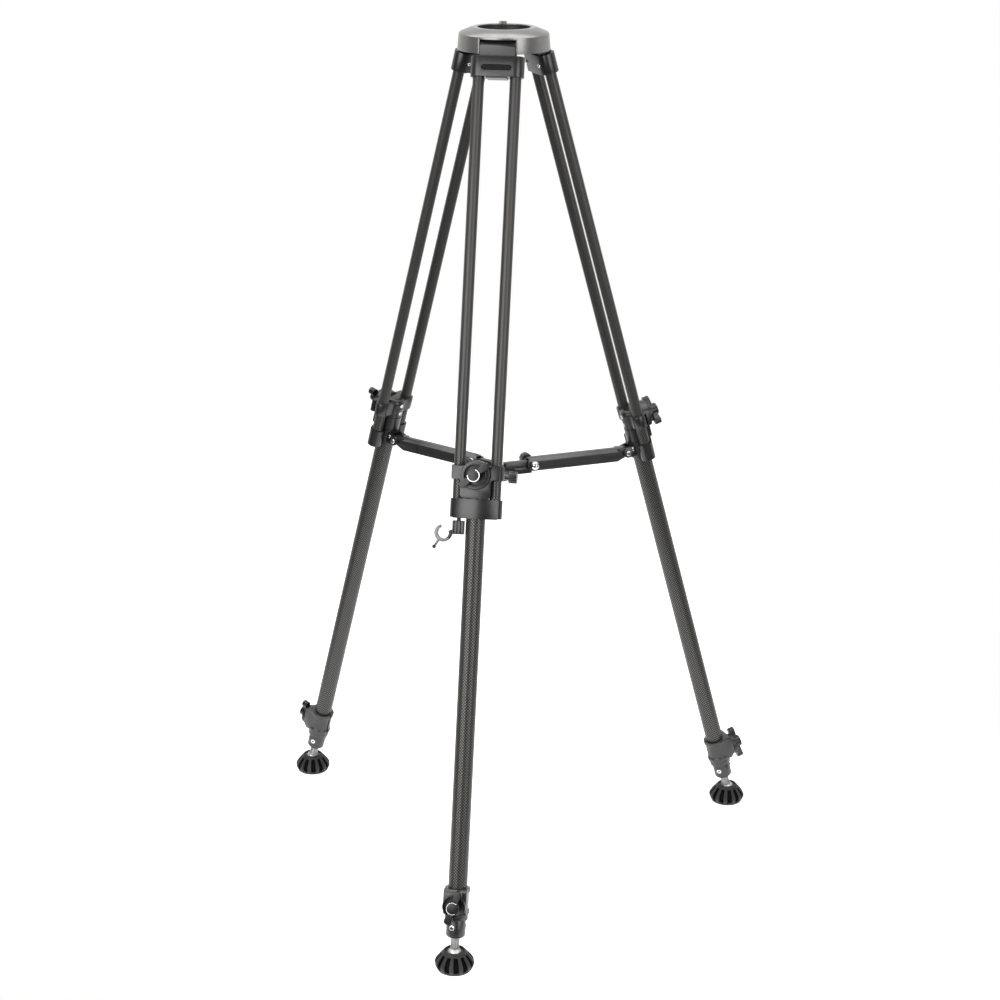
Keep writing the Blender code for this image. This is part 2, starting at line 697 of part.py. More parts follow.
def make_low_clamp():
    """Clamp at the end of the middle tube, with a boxed front for the knob and a slit behind."""
    sleeve_low = LOW_BOTTOM + LOW_NECK_HEIGHT
    neck = rod(LOW_NECK_RADIUS, (0, 0, LOW_BOTTOM), (0, 0, sleeve_low + GAP))
    waist = LOW_RADIUS - LOW_WAIST
    band_low = sleeve_low + LOW_BAND
    band_high = LOW_TOP - LOW_BAND
    profile = [
        (0.0, LOW_TOP),
        (LOW_RADIUS, LOW_TOP),
        (LOW_RADIUS, band_high),
        (waist, band_high - LOW_WAIST),
        (waist, band_low + LOW_WAIST),
        (LOW_RADIUS, band_low),
        (LOW_RADIUS, sleeve_low),
        (0.0, sleeve_low),
    ]
    sleeve = turned(profile)
    half = LOW_BOX_HALF
    box_low = LOW_BOTTOM + LOW_NECK_HEIGHT - GAP
    box_high = LOW_TOP - GAP
    corner = (-LOW_BOX_FRONT, box_low + LOW_BOX_TRIM)
    outline = [(0.0, box_low), (corner[0] + LOW_BOX_TRIM, box_low), corner]
    outline += [(-LOW_BOX_FRONT, box_high - LOW_BOX_TRIM / 2)]
    outline += [(-LOW_BOX_FRONT + LOW_BOX_TRIM / 2, box_high), (0.0, box_high)]
    front = slab(outline, 2 * half, SIDEWAYS)
    body = join(sleeve, neck, front)
    step = LOW_BOTTOM + LOW_STEP - GAP
    tube_bore = rod(MID_RADIUS + GAP, (0, 0, step), (0, 0, LOW_TOP + LOW_STEP))
    inner_bore = rod(INNER_RADIUS + GAP, (0, 0, LOW_BOTTOM - LOW_STEP), (0, 0, step + LOW_STEP / 2))
    slit_high = LOW_TOP + LOW_STEP
    slit_low = sleeve_low + LOW_STEP / 2
    slit = block((-LOW_SLIT / 2, MID_RADIUS - GAP, slit_low), (LOW_SLIT / 2, 2 * LOW_RADIUS, slit_high))
    stem_hole = knob_stem(KNOB_STEM_RADIUS + GAP, KNOB_STEM_LENGTH + GAP, LOW_BOX_FRONT, LOW_KNOB_LEVEL)
    return face_outwards(cut(body, tube_bore, inner_bore, slit, stem_hole))


def make_inner_tube():
    """Inner carbon tube that slides out of the middle tube with the foot."""
    return pipe(INNER_RADIUS, INNER_WALL, PLUG_TOP + GAP, PLUG_TOP + INNER_LENGTH)


def make_foot_plug():
    """Plug under the inner tube, with a spigot inside it and a hole for the foot's stud."""
    spigot = INNER_RADIUS - INNER_WALL - GAP
    low = PLUG_TOP - PLUG_HEIGHT
    profile = [
        (0.0, PLUG_TOP + PLUG_SPIGOT),
        (spigot, PLUG_TOP + PLUG_SPIGOT),
        (spigot, PLUG_TOP),
        (PLUG_RADIUS, PLUG_TOP),
        (PLUG_RADIUS, low + PLUG_CHAMFER),
        (PLUG_RADIUS - PLUG_CHAMFER, low),
        (0.0, low),
    ]
    grip = low + STUD_GRIP + GAP
    hole = rod(STUD_RADIUS + GAP, (0, 0, low - STUD_GRIP), (0, 0, grip))
    return cut(turned(profile), hole)


def make_foot_stud():
    """Steel stud with the ball that the foot tilts on."""
    top = PLUG_TOP - PLUG_HEIGHT + STUD_GRIP
    stud = rod(STUD_RADIUS, (0, 0, -LEG_LENGTH), (0, 0, top))
    return join(ball(BALL_RADIUS, (0, 0, -LEG_LENGTH), SIDES_SMALL), stud)


def make_foot_cup():
    """Bright round cup that holds the ball, about the ball's centre."""
    seat = BALL_RADIUS + GAP
    outer = seat + CUP_WALL
    steps = 5
    bottom = -math.pi / 2
    inside = arc((0.0, 0.0), seat, bottom, math.asin(CUP_TOP / seat), steps)
    outside = arc((0.0, 0.0), outer, math.asin(CUP_TOP / outer), bottom, steps)
    return turned(inside + outside)


def make_foot_pad():
    """Fluted rubber foot round the cup, about the ball's centre."""
    floor = -BALL_HEIGHT
    bore = BALL_RADIUS + CUP_WALL + 2 * GAP
    cavity = arc((0.0, 0.0), bore, -math.pi / 2, 0.0, 4)
    shoulder = (PAD_WIDEST + PAD_TOP) / 2
    shoulder_radius = (PAD_RADIUS + PAD_TOP_RADIUS) / 2 + PAD_FLUTE_DEPTH / 2
    outside = [
        (bore, floor + PAD_TOP),
        (PAD_TOP_RADIUS, floor + PAD_TOP),
        (shoulder_radius, floor + shoulder),
        (PAD_RADIUS, floor + PAD_WIDEST),
        (PAD_BASE_RADIUS, floor),
        (0.0, floor),
    ]
    shape = turned(cavity + outside, 3 * PAD_FLUTES)
    for vertex in shape.data.vertices:
        height = vertex.co.z - floor
        reach = vertex.co.xy.length
        part_round = math.atan2(vertex.co.y, vertex.co.x) / (2 * math.pi) * 3 * PAD_FLUTES
        in_groove = round(part_round) % 3 > 0
        fluted = PAD_RIM / 2 < height < (shoulder + PAD_TOP) / 2 and reach > bore + GAP
        if in_groove and fluted:
            vertex.co.xy *= (reach - PAD_FLUTE_DEPTH) / reach
    return shape


def make_arm():
    """Spreader arm about its pivot pin, running inwards along +Y, open below at the hub's end."""
    half = ARM_WIDTH / 2
    end = arc((ARM_REACH, BOLT_LEVEL), ARM_END_RADIUS, -math.pi / 2, math.pi / 2, 10)
    tongue = arc((0.0, 0.0), ARM_TONGUE, math.pi / 2, 1.5 * math.pi, 8)
    chin = (ARM_SHOULDER, -ARM_FALL)
    outline = end + tongue + [(ARM_TONGUE / 2, -ARM_TONGUE), chin]
    body = slab(outline, ARM_WIDTH, SIDEWAYS)
    channel_from = ARM_REACH - ARM_CHANNEL_LENGTH
    channel_to = ARM_REACH + 2 * ARM_END_RADIUS
    under = -2 * ARM_FALL
    channel_low = (-CHANNEL_HALF, channel_from, under)
    channel = block(channel_low, (CHANNEL_HALF, channel_to, ARM_RISE - ARM_WEB))
    wide = 2 * half
    pivot = rod(PIN_RADIUS + GAP, (-wide, 0, 0), (wide, 0, 0), SIDES_SMALL)
    bolt_at = (ARM_REACH, BOLT_LEVEL)
    bolt = rod(BOLT_RADIUS + GAP, (-wide, *bolt_at), (wide, *bolt_at), SIDES_SMALL)
    seam_low = ARM_SEAM - ARM_SEAM_WIDTH / 2
    seam_high = ARM_SEAM + ARM_SEAM_WIDTH / 2
    groove_end = ARM_REACH - ARM_GROOVE_END + ARM_GROOVE_START
    groove_low = BOLT_LEVEL - ARM_GROOVE_HEIGHT / 2
    groove_high = BOLT_LEVEL + ARM_GROOVE_HEIGHT / 2
    seam = block((-wide, seam_low, under), (wide, seam_high, 2 * ARM_RISE))
    core_low = (-half + ARM_SEAM_DEPTH, seam_low - ARM_SEAM_WIDTH, 2 * under)
    core = block(core_low, (half - ARM_SEAM_DEPTH, seam_high + ARM_SEAM_WIDTH, ARM_RISE - ARM_SEAM_DEPTH))
    marks = [cut(seam, core)]
    for side in (-1, 1):
        near = side * (half - ARM_SEAM_DEPTH)
        far = side * wide
        low = min(near, far)
        high = max(near, far)
        marks.append(block((low, ARM_GROOVE_START, groove_low), (high, groove_end, groove_high)))
    return cut(body, channel, pivot, bolt, *marks)


def make_arm_bolt():
    """Thumb bolt across the arm's end: washer, neck and round knob, and a domed nut on its far end."""
    half = ARM_WIDTH / 2 + GAP
    washer_end = half + WASHER_LENGTH
    neck_end = washer_end + NECK_LENGTH
    base_end = half + NUT_BASE_LENGTH
    bolt = rod(BOLT_RADIUS, (-base_end, 0, 0), (washer_end, 0, 0), SIDES_SMALL)
    washer = rod(WASHER_RADIUS, (half, 0, 0), (washer_end + GAP, 0, 0), SIDES_SMALL)
    neck = rod(NECK_RADIUS, (washer_end - GAP, 0, 0), (neck_end + GAP, 0, 0), SIDES_SMALL)
    thumb = rod(THUMB_RADIUS, (neck_end, 0, 0), (neck_end + THUMB_LENGTH, 0, 0), SIDES_TUBE)
    nut = rod(NUT_BASE_RADIUS, (-half, 0, 0), (-base_end - GAP, 0, 0), SIDES_SMALL)
    wide = 4 * NUT_BALL_RADIUS
    dome = ball(NUT_BALL_RADIUS, (-half - NUT_BALL_REACH, 0, 0), SIDES_SMALL)
    dome = cut(dome, block((-half - GAP, -wide, -wide), (wide, wide, wide)))
    return join(washer, bolt, neck, thumb, nut, dome)


def make_hub():
    """Spreader hub about the bolts' level: a disc with three tongues that carry the bolts."""
    top = -BOLT_RADIUS - HUB_TOP
    low = top - HUB_THICKNESS
    half = CHANNEL_HALF - GAP
    disc = rod(HUB_RADIUS, (0, 0, low), (0, 0, top), SIDES_TUBE)
    dome = rod(HUB_DOME_RADIUS, (0, 0, top - GAP), (0, 0, top + HUB_DOME_HEIGHT), SIDES_TUBE, HUB_DOME_RADIUS / 2)
    boss = rod(HUB_BOSS_RADIUS, (0, 0, low - HUB_BOSS_HEIGHT), (0, 0, low + GAP), SIDES_TUBE)

    def tongue():
        tip = BOLT_CIRCLE - HUB_TIP_INSET
        return block((-half, -tip, low + GAP), (half, -HUB_RADIUS / 2, top - GAP))

    def rib():
        tip = BOLT_CIRCLE - HUB_RIB_INSET
        inset = half - GAP
        return block((-inset, -tip, low + 2 * GAP), (inset, -HUB_RADIUS / 4, top + HUB_RIB_HEIGHT))

    return join(disc, dome, boss, *around(tongue), *around(rib))


def make_clip_block():
    """Ribbed block that hangs from the front collar on a swivel stem."""
    x, y = CLIP_STEM
    width, depth, height = CLIP_BLOCK
    top = COLLAR_BOTTOM - CLIP_STEM_LENGTH
    low = top - height
    body = block((x - width / 2, y - depth / 2, low), (x + width / 2, y + depth / 2, top))
    stem = rod(CLIP_STEM_RADIUS, (x, y, top - GAP), (x, y, COLLAR_BOTTOM - GAP), SIDES_SMALL)
    pitch = width / (2 * CLIP_RIBS + 1)
    grooves = []
    for index in range(CLIP_RIBS):
        start = x - width / 2 + (2 * index + 1) * pitch
        front = y - depth / 2 - CLIP_RIB_DEPTH
        grooves.append(block((start, front, low - GAP), (start + pitch, front + 2 * CLIP_RIB_DEPTH, top + GAP)))
    return cut(join(body, stem), *grooves)


def make_leg_clip():
    """Open spring clip that snaps round a leg tube, with a small ball-ended tail."""
    x, y = CLIP_STEM
    width = CLIP_BLOCK[0]
    outer = CLIP_INNER + CLIP_WALL
    centre_x = x - width / 2 - GAP - outer
    centre_z = COLLAR_BOTTOM - CLIP_STEM_LENGTH - CLIP_DROP
    steps = 18
    start = CLIP_OPEN_TO
    end = CLIP_OPEN_FROM + 2 * math.pi
    ring = arc((0.0, 0.0), outer, start, end, steps) + arc((0.0, 0.0), CLIP_INNER, end, start, steps)
    clip = slab(ring, CLIP_WIDTH, ACROSS)
    reach = outer + CLIP_TAIL_LENGTH
    middle = CLIP_INNER + CLIP_WALL / 2
    along = Vector((math.cos(CLIP_TAIL_ANGLE), 0.0, math.sin(CLIP_TAIL_ANGLE)))
    tail = rod(CLIP_TAIL_RADIUS, along * middle, along * reach, SIDES_SMALL)
    tail_ball = ball(CLIP_TAIL_BALL, along * reach, SIDES_SMALL)
    clip = join(clip, tail, tail_ball)
    clip.data.transform(Matrix.Translation((centre_x, y, centre_z)))
    return clip


def build_legs():
    """Make each leg piece once and place it on the three legs."""
    leg_pieces = {
        "hinge_pin": (make_hinge_pin(), "steel"),
        "yoke": (make_yoke(), "black_cast"),
        "upper_tube_left": (make_upper_tube(-1), "carbon"),
        "upper_tube_right": (make_upper_tube(1), "carbon"),
        "collar": (make_collar(), "black_cast"),
        "arm_pin": (make_arm_pin(), "steel"),
        "slider": (make_slider(), "black_cast"),
        "mid_knob": (make_knob(MID_WING_SPAN, MID_WING_TURN, BOSS_FRONT, BOSS_LEVEL), "black_cast"),
        "mid_tube": (make_mid_tube(), "carbon"),
        "low_clamp": (make_low_clamp(), "black_cast"),
        "low_knob": (make_knob(LOW_WING_SPAN, LOW_WING_TURN, LOW_BOX_FRONT, LOW_KNOB_LEVEL), "black_cast"),
        "inner_tube": (make_inner_tube(), "carbon"),
        "foot_plug": (make_foot_plug(), "black_cast"),
        "foot_stud": (make_foot_stud(), "zinc"),
    }
    foot_pieces = {"foot_cup": (make_foot_cup(), "steel"), "foot_pad": (make_foot_pad(), "rubber")}
    arm_pieces = {"arm": (make_arm(), "arm_grey")}
    bolt_pieces = {"arm_bolt": (make_arm_bolt(), "black_cast")}
    for leg, turn in LEG_TURNS.items():
        outward = Vector((math.sin(turn), -math.cos(turn), 0.0))
        axis = Vector((0.0, AXIS_Y, 0.0))
        pivot = axis + outward * PIVOT_RADIUS + Vector((0.0, 0.0, PIVOT_HEIGHT))
        foot = axis + outward * FOOT_CIRCLE + Vector((0.0, 0.0, BALL_HEIGHT))
        arm = axis + outward * ARM_PIVOT_RADIUS + Vector((0.0, 0.0, ARM_PIVOT_HEIGHT))
        bolt = axis + outward * BOLT_CIRCLE + Vector((0.0, 0.0, BOLT_HEIGHT))
        leg_frame = frame_at(f"{leg}_leg_frame", pivot, (-SPLAY, 0.0, turn))
        place_all(leg, leg_pieces, leg_frame)
        place_all(leg, foot_pieces, frame_at(f"{leg}_foot_frame", foot, (0.0, 0.0, turn)))
        place_all(leg, arm_pieces, frame_at(f"{leg}_arm_frame", arm, (0.0, 0.0, turn)))
        place_all(leg, bolt_pieces, frame_at(f"{leg}_bolt_frame", bolt, (0.0, 0.0, turn)))
        if leg == "front":
            place("clip_block", make_clip_block(), "black_cast", leg_frame)
            place("leg_clip", make_leg_clip(), "clip_grey", leg_frame)


def place_all(leg, pieces, frame):
    """Place one leg's copies of several pieces under a frame."""
    for name, (shape, finish) in pieces.items():
        place(f"{leg}_{name}", shape, finish, frame)


def build_middle():
    """Make the crown's pieces and the spreader hub on the tripod's axis."""
    crown_frame = frame_at("crown_frame", (0.0, AXIS_Y, RIM_HEIGHT), (0.0, 0.0, 0.0))
    place("crown", make_crown(), "cast_silver", crown_frame)
    place("bowl_seat", make_bowl_seat(), "black_cast", crown_frame)
    hub_frame = frame_at("hub_frame", (0.0, AXIS_Y, BOLT_HEIGHT), (0.0, 0.0, 0.0))
    place("hub", make_hub(), "black_cast", hub_frame)


def clear_bench():
    """Remove the working shapes, which the placed pieces no longer need."""
    for shape in list(BENCH.objects):
        bpy.data.objects.remove(shape, do_unlink=True)


build_legs()
build_middle()
clear_bench()
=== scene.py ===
"""Dressed view of a video tripod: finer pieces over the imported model, materials, light and camera."""

import json
import math

import bmesh
import bpy
from mathutils import Matrix, Vector

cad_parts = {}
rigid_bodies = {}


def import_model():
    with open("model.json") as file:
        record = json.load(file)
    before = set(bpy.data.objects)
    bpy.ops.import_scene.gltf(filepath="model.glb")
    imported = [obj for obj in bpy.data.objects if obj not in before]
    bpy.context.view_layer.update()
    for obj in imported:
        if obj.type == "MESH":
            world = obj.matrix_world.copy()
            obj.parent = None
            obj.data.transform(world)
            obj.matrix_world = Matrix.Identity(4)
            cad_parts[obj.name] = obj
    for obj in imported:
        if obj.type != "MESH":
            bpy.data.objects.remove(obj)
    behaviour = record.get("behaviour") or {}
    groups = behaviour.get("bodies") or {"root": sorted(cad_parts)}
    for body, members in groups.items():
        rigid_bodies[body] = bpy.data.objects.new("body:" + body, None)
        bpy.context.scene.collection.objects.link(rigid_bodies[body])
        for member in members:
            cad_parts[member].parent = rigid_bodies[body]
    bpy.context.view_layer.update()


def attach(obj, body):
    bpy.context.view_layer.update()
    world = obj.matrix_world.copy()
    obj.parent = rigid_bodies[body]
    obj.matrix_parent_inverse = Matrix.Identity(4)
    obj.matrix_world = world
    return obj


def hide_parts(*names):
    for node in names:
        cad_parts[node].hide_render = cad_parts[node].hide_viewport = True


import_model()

# Sizes that repeat the model's, in metres
GAP = 0.0003
SPLAY = math.radians(16.17)
PIVOT_RADIUS = 0.0483
LEG_LENGTH = 1.2666
BALL_HEIGHT = 0.023
LEG_TURNS = {"front": 0.0, "right": math.radians(120), "left": math.radians(-120)}
BOWL_RADIUS = 0.0375
RIM_LAND_RADIUS = 0.045
RIM_LIP = 0.002
CROWN_TOP_RADIUS = 0.0637
CROWN_BOTTOM_RADIUS = 0.0657
CROWN_CHAMFER = 0.007
CROWN_HEIGHT = 0.031
SEAT_WALL = 0.003
SEAT_DEPTH = 0.027
PIVOT_DROP = 0.0217
WINDOW_WIDTH = 0.051
TAB_SIZE = (0.011, 0.004, 0.003)
TAB_TURN = math.radians(11)
HINGE_PIN_RADIUS = 0.004
HINGE_PIN_LENGTH = 0.062
YOKE_BARREL_RADIUS = 0.010
YOKE_SIDE_GAP = 0.0005
YOKE_WIDTH = 0.075
YOKE_DEPTH = 0.026
YOKE_NECK_DEPTH = 0.020
YOKE_TOP = -0.0145
YOKE_BOTTOM = -0.043
YOKE_LIP = 0.002
YOKE_LIP_WIDTH = 0.028
LABEL_WIDTH = 0.044
LABEL_HEIGHT = 0.009
LABEL_DEPTH = 0.0008
LABEL_LEVEL = -0.0305
SOCKET_DEPTH = 0.024
YOKE_EDGE = 0.001
TWIN_RADIUS = 0.008
TWIN_X = 0.026
TWIN_WALL = 0.0015
MID_RADIUS = 0.0135
MID_WALL = 0.0018
INNER_RADIUS = MID_RADIUS - MID_WALL - GAP
INNER_WALL = 0.0015
INNER_LENGTH = 0.42
COLLAR_TOP = -0.6265
COLLAR_HEIGHT = 0.0275
COLLAR_BOTTOM = COLLAR_TOP - COLLAR_HEIGHT
COLLAR_BULGE = 0.017
COLLAR_RING_RADIUS = 0.0107
COLLAR_BACK_RADIUS = 0.0165
COLLAR_FLOOR = 0.004
COLLAR_EDGE = 0.0015
ARM_PIVOT_DEPTH = 0.024
ARM_PIVOT_LEVEL = -0.6396
FORK_CHEEK = 0.004
FORK_HEIGHT = 0.017
FORK_NOSE = 0.0075
PIN_RADIUS = 0.003
PIN_HEAD_RADIUS = 0.0042
PIN_HEAD_HEIGHT = 0.0022
SLEEVE_RADIUS = 0.0112
SLEEVE_TOP = -0.580
SLEEVE_HEIGHT = 0.020
SLIDER_RADIUS = 0.0165
SLIDER_TOP = -0.576
APRON_HALF = 0.0215
APRON_FRONT = 0.0165
APRON_THICKNESS = 0.006
APRON_CORNER = 0.006
APRON_FILLET = 0.004
SHOULDER_INSET = 0.004
BOSS_RADIUS = 0.0205
BOSS_LEVEL = -0.593
BOSS_FRONT = 0.0235
MID_TUBE_TOP = -0.590
KNOB_BASE_RADIUS = 0.0165
KNOB_BASE_HEIGHT = 0.005
KNOB_WING_HEIGHT = 0.009
KNOB_CAP_RADIUS = 0.0092
KNOB_CAP_HEIGHT = 0.003
MID_WING_SPAN = 0.050
LOW_WING_SPAN = 0.050
WING_WIDTH = 0.011
MID_WING_TURN = math.radians(41)
LOW_WING_TURN = math.radians(71)
FOOT_REACH = 0.0946
LOW_TOP = -LEG_LENGTH + FOOT_REACH
LOW_HEIGHT = 0.046
LOW_BOTTOM = LOW_TOP - LOW_HEIGHT
LOW_RADIUS = 0.018
LOW_NECK_HEIGHT = 0.009
LOW_NECK_RADIUS = 0.0165
LOW_BOX_HALF = 0.0165
LOW_BOX_FRONT = 0.0235
LOW_BOX_TRIM = 0.008
LOW_SLIT = 0.0025
LOW_STEP = 0.004
LOW_BAND = 0.006
LOW_WAIST = 0.0015
LOW_KNOB_DROP = 0.023
LOW_KNOB_LEVEL = LOW_TOP - LOW_KNOB_DROP
PLUG_DROP = 0.0005
PLUG_TOP = LOW_BOTTOM - PLUG_DROP
PLUG_RADIUS = 0.0137
PLUG_HEIGHT = 0.025
PLUG_CHAMFER = 0.003
PLUG_SPIGOT = 0.015
STUD_RADIUS = 0.0065
STUD_GRIP = 0.009
BALL_RADIUS = 0.010
CUP_WALL = 0.0022
CUP_TOP = 0.004
PAD_BASE_RADIUS = 0.024
PAD_RADIUS = 0.0281
PAD_WIDEST = 0.010
PAD_TOP_RADIUS = 0.0142
PAD_TOP = 0.0295
PAD_RIM = 0.005
PAD_FLUTES = 12
PAD_FLUTE_DEPTH = 0.003
ARM_WIDTH = 0.016
ARM_RISE = 0.007
ARM_FALL = 0.013
ARM_TONGUE = 0.007
ARM_SHOULDER = 0.016
ARM_END_RADIUS = 0.010
ARM_WEB = 0.0025
ARM_WALL = 0.0025
ARM_CHANNEL_LENGTH = 0.062
ARM_SEAM = 0.046
ARM_SEAM_WIDTH = 0.001
ARM_SEAM_DEPTH = 0.0006
ARM_GROOVE_START = 0.068
ARM_GROOVE_HEIGHT = 0.005
BOLT_CIRCLE = 0.050
BOLT_LEVEL = -0.003
BOLT_RADIUS = 0.003
WASHER_RADIUS = 0.006
WASHER_LENGTH = 0.0035
NECK_RADIUS = 0.004
NECK_LENGTH = 0.008
THUMB_RADIUS = 0.0087
THUMB_LENGTH = 0.012
NUT_BASE_RADIUS = 0.006
NUT_BASE_LENGTH = 0.0025
NUT_BALL_RADIUS = 0.0063
NUT_BALL_REACH = 0.0045
HUB_RADIUS = 0.020
HUB_TOP = 0.0006
HUB_THICKNESS = 0.0104
HUB_TIP_INSET = 0.002
HUB_DOME_RADIUS = 0.013
HUB_DOME_HEIGHT = 0.003
HUB_BOSS_RADIUS = 0.012
HUB_BOSS_HEIGHT = 0.006
HUB_RIB_HEIGHT = 0.009
HUB_RIB_INSET = 0.006
CLIP_STEM = (-0.023, -0.004)
CLIP_STEM_RADIUS = 0.0028
CLIP_STEM_LENGTH = 0.004
CLIP_BLOCK = (0.016, 0.012, 0.019)
CLIP_RIB_DEPTH = 0.001
CLIP_RIBS = 3
CLIP_INNER = 0.0095
CLIP_WALL = 0.0030
CLIP_WIDTH = 0.009
CLIP_DROP = 0.018
CLIP_TAIL_LENGTH = 0.0110
CLIP_TAIL_ANGLE = math.radians(238)
CLIP_TAIL_BALL = 0.0028

# Trim that only the dressed view has
FINE = 48
COARSE = 24
EDGE = 0.0006
SHARP_ANGLE = math.radians(32)
CROWN_ROUND = 0.002
CROWN_RISE = 0.0004
CROWN_EDGE = 0.0007
THREAD_PITCH = 0.0018
THREAD_DEPTH = 0.0004
SCREW_RADIUS = 0.0029
SCREW_HEIGHT = 0.0014
PLUG_SCREW_RADIUS = 0.0038
PLUG_SCREW_DROP = 0.0095
PLUG_SCREW_TURN = math.radians(-14)
YOKE_SCREW = (0.024, -0.029)
FORK_SCREW = (0.0150, 0.004)
SLIDER_SCREW_SINK = 0.0011
SLIDER_SCREWS = (-0.5855, -0.5985)
MARK_RADIUS = 0.0083
MARK_WIDTH = 0.0008
MID_MARK = (math.radians(-180), math.radians(72))
LOW_MARK = (math.radians(49), math.radians(297))
WING_NECK = 0.0040
KNOB_DISH = 0.0028
KNOB_RIM = 0.0022
WING_EDGE = 0.0016
BOX_EDGE = 0.0012
# Drop below the stud's end where the ball's painted highlight band starts
BALL_HIGHLIGHT_DROP = 0.0015
PAD_MOUTH = 0.002
PAD_GROOVE = 0.0042
GROOVE_FLOOR = 0.20
GROOVE_LIP = 0.29
GROOVE_SHADE = 0.3
ARM_BEVEL = 0.0046
ARM_BEVEL_DROP = 0.005
ARM_GROOVE_STOP = 0.020
THUMB_RIBS = 20
THUMB_RIB_DEPTH = 0.0007
THUMB_EDGE = 0.0008
CLIP_THICKNESS = 0.0046
CLIP_OPEN_FROM = math.radians(24)
CLIP_OPEN_TO = math.radians(112)
CLIP_TAIL_RADIUS = 0.0019
CLIP_EDGE = 0.0005
CLIP_BLOCK_EDGE = 0.0003
CLIP_DARK_FROM = math.radians(-50)
CLIP_DARK_TO = CLIP_OPEN_FROM + 0.1
LABEL_RIM = 0.0004
DOME_DROP = 0.008
GROOVE_DEPTH = 0.0008
GROOVE_WIDTH = 0.0011
SLIDER_GROOVES = (-0.5910, -0.6060)
WEAVE_CELL = 0.0042

# Places
FOOT_CIRCLE = PIVOT_RADIUS + LEG_LENGTH * math.sin(SPLAY)
PIVOT_HEIGHT = BALL_HEIGHT + LEG_LENGTH * math.cos(SPLAY)
RIM_HEIGHT = PIVOT_HEIGHT + PIVOT_DROP
AXIS = Vector((0.0, FOOT_CIRCLE / 4, 0.0))
ARM_PIVOT_RADIUS = PIVOT_RADIUS - ARM_PIVOT_LEVEL * math.sin(SPLAY) - ARM_PIVOT_DEPTH * math.cos(SPLAY)
ARM_PIVOT_HEIGHT = PIVOT_HEIGHT + ARM_PIVOT_LEVEL * math.cos(SPLAY) - ARM_PIVOT_DEPTH * math.sin(SPLAY)
ARM_REACH = ARM_PIVOT_RADIUS - BOLT_CIRCLE
BOLT_HEIGHT = ARM_PIVOT_HEIGHT + BOLT_LEVEL
CHANNEL_HALF = ARM_WIDTH / 2 - ARM_WALL
FORK_HALF = ARM_WIDTH / 2 + GAP + FORK_CHEEK

# Studio
FLOOR_LOW = (-0.8, -0.46, 0.0)
FLOOR_HIGH = (0.8, 2.5, 0.0)
FLOOR_LEVEL = 0.86
FLOOR_LIFT = 0.88
SURROUND_LIGHT = 0.22
FRONT_LEVEL = 0.16
FRONT_END = -0.3
BEHIND_START = 0.5
LAMP_AIM = (0.0, 0.1, 0.8)

# Camera
VIEW_SIDE = (0.1506, -0.9886)
VIEW_DISTANCE = 3.1496
VIEW_HEIGHT = 1.6119
VIEW_PITCH = math.radians(18.42)
VIEW_ROLL = 0.0071
VIEW_SHIFT = -0.0007
VIEW_LENS = 79.73

ACROSS = Matrix.Rotation(math.pi / 2, 4, "X")
SIDEWAYS = Matrix(((0, 0, 1, 0), (1, 0, 0, 0), (0, 1, 0, 0), (0, 0, 0, 1)))


class Graph:
    """Small helper for building a node tree."""

    def __init__(self, tree):
        self.tree = tree

    def feed(self, socket, value):
        """Link a socket to an input, or set the input to a number or colour."""
        if isinstance(value, bpy.types.NodeSocket):
            self.tree.links.new(value, socket)
        else:
            socket.default_value = value

    def add(self, kind, **inputs):
        """Add a node and feed its inputs."""
        node = self.tree.nodes.new(kind)
        for name, value in inputs.items():
            self.feed(node.inputs[name.replace("_", " ")], value)
        return node

    def math(self, operation, first, second=0.0):
        """Do arithmetic on sockets and numbers."""
        node = self.add("ShaderNodeMath")
        node.operation = operation
        self.feed(node.inputs[0], first)
        self.feed(node.inputs[1], second)
        return node.outputs[0]

    def seen_directly(self):
        """Socket that is 1 for what the camera, mirrors and glass see."""
        rays = self.add("ShaderNodeLightPath").outputs
        seen = rays["Is Camera Ray"]
        for name in ("Is Glossy Ray", "Is Transmission Ray"):
            seen = self.math("MAXIMUM", seen, rays[name])
        return seen


class Shader(Graph):
    """Helper for building one procedural material."""

    def __init__(self, name, roughness, metallic=0.0, specular=0.5):
        self.material = bpy.data.materials.new(name)
        self.material.use_nodes = True
        super().__init__(self.material.node_tree)
        self.surface = self.tree.nodes["Principled BSDF"]
        self.set("Roughness", roughness)
        self.set("Metallic", metallic)
        self.set("Specular IOR Level", specular)

    def set(self, name, value):
        """Feed an input of the surface."""
        self.feed(self.surface.inputs[name], value)

    def ramp(self, fac, stops):
        """Colour ramp over a socket."""
        node = self.add("ShaderNodeValToRGB", Fac=fac)
        elements = node.color_ramp.elements
        while len(elements) < len(stops):
            elements.new(0.5)
        for element, (place, colour) in zip(elements, stops):
            element.position = place
            element.color = (*colour, 1.0)
        return node.outputs["Color"]

    def noise(self, scale, detail):
        """Noise over the piece's own coordinates, in metres."""
        where = self.add("ShaderNodeTexCoord").outputs["Object"]
        return self.add("ShaderNodeTexNoise", Vector=where, Scale=scale, Detail=detail).outputs["Fac"]

    def bump(self, height, strength, distance):
        """Bump the surface with a height socket."""
        node = self.add("ShaderNodeBump", Height=height, Strength=strength, Distance=distance)
        self.set("Normal", node.outputs["Normal"])


def grey(level, warm=0.0):
    """Grey as linear colour, a little warm or cool."""
    return (level * (1 + warm), level, level * (1 - warm))


def varied(shader, grain, roughness, spread):
    """Let the gloss follow a grain, evenly about a roughness."""
    part = shader.math("MULTIPLY", grain, spread)
    shader.set("Roughness", shader.math("ADD", part, roughness - spread / 2))


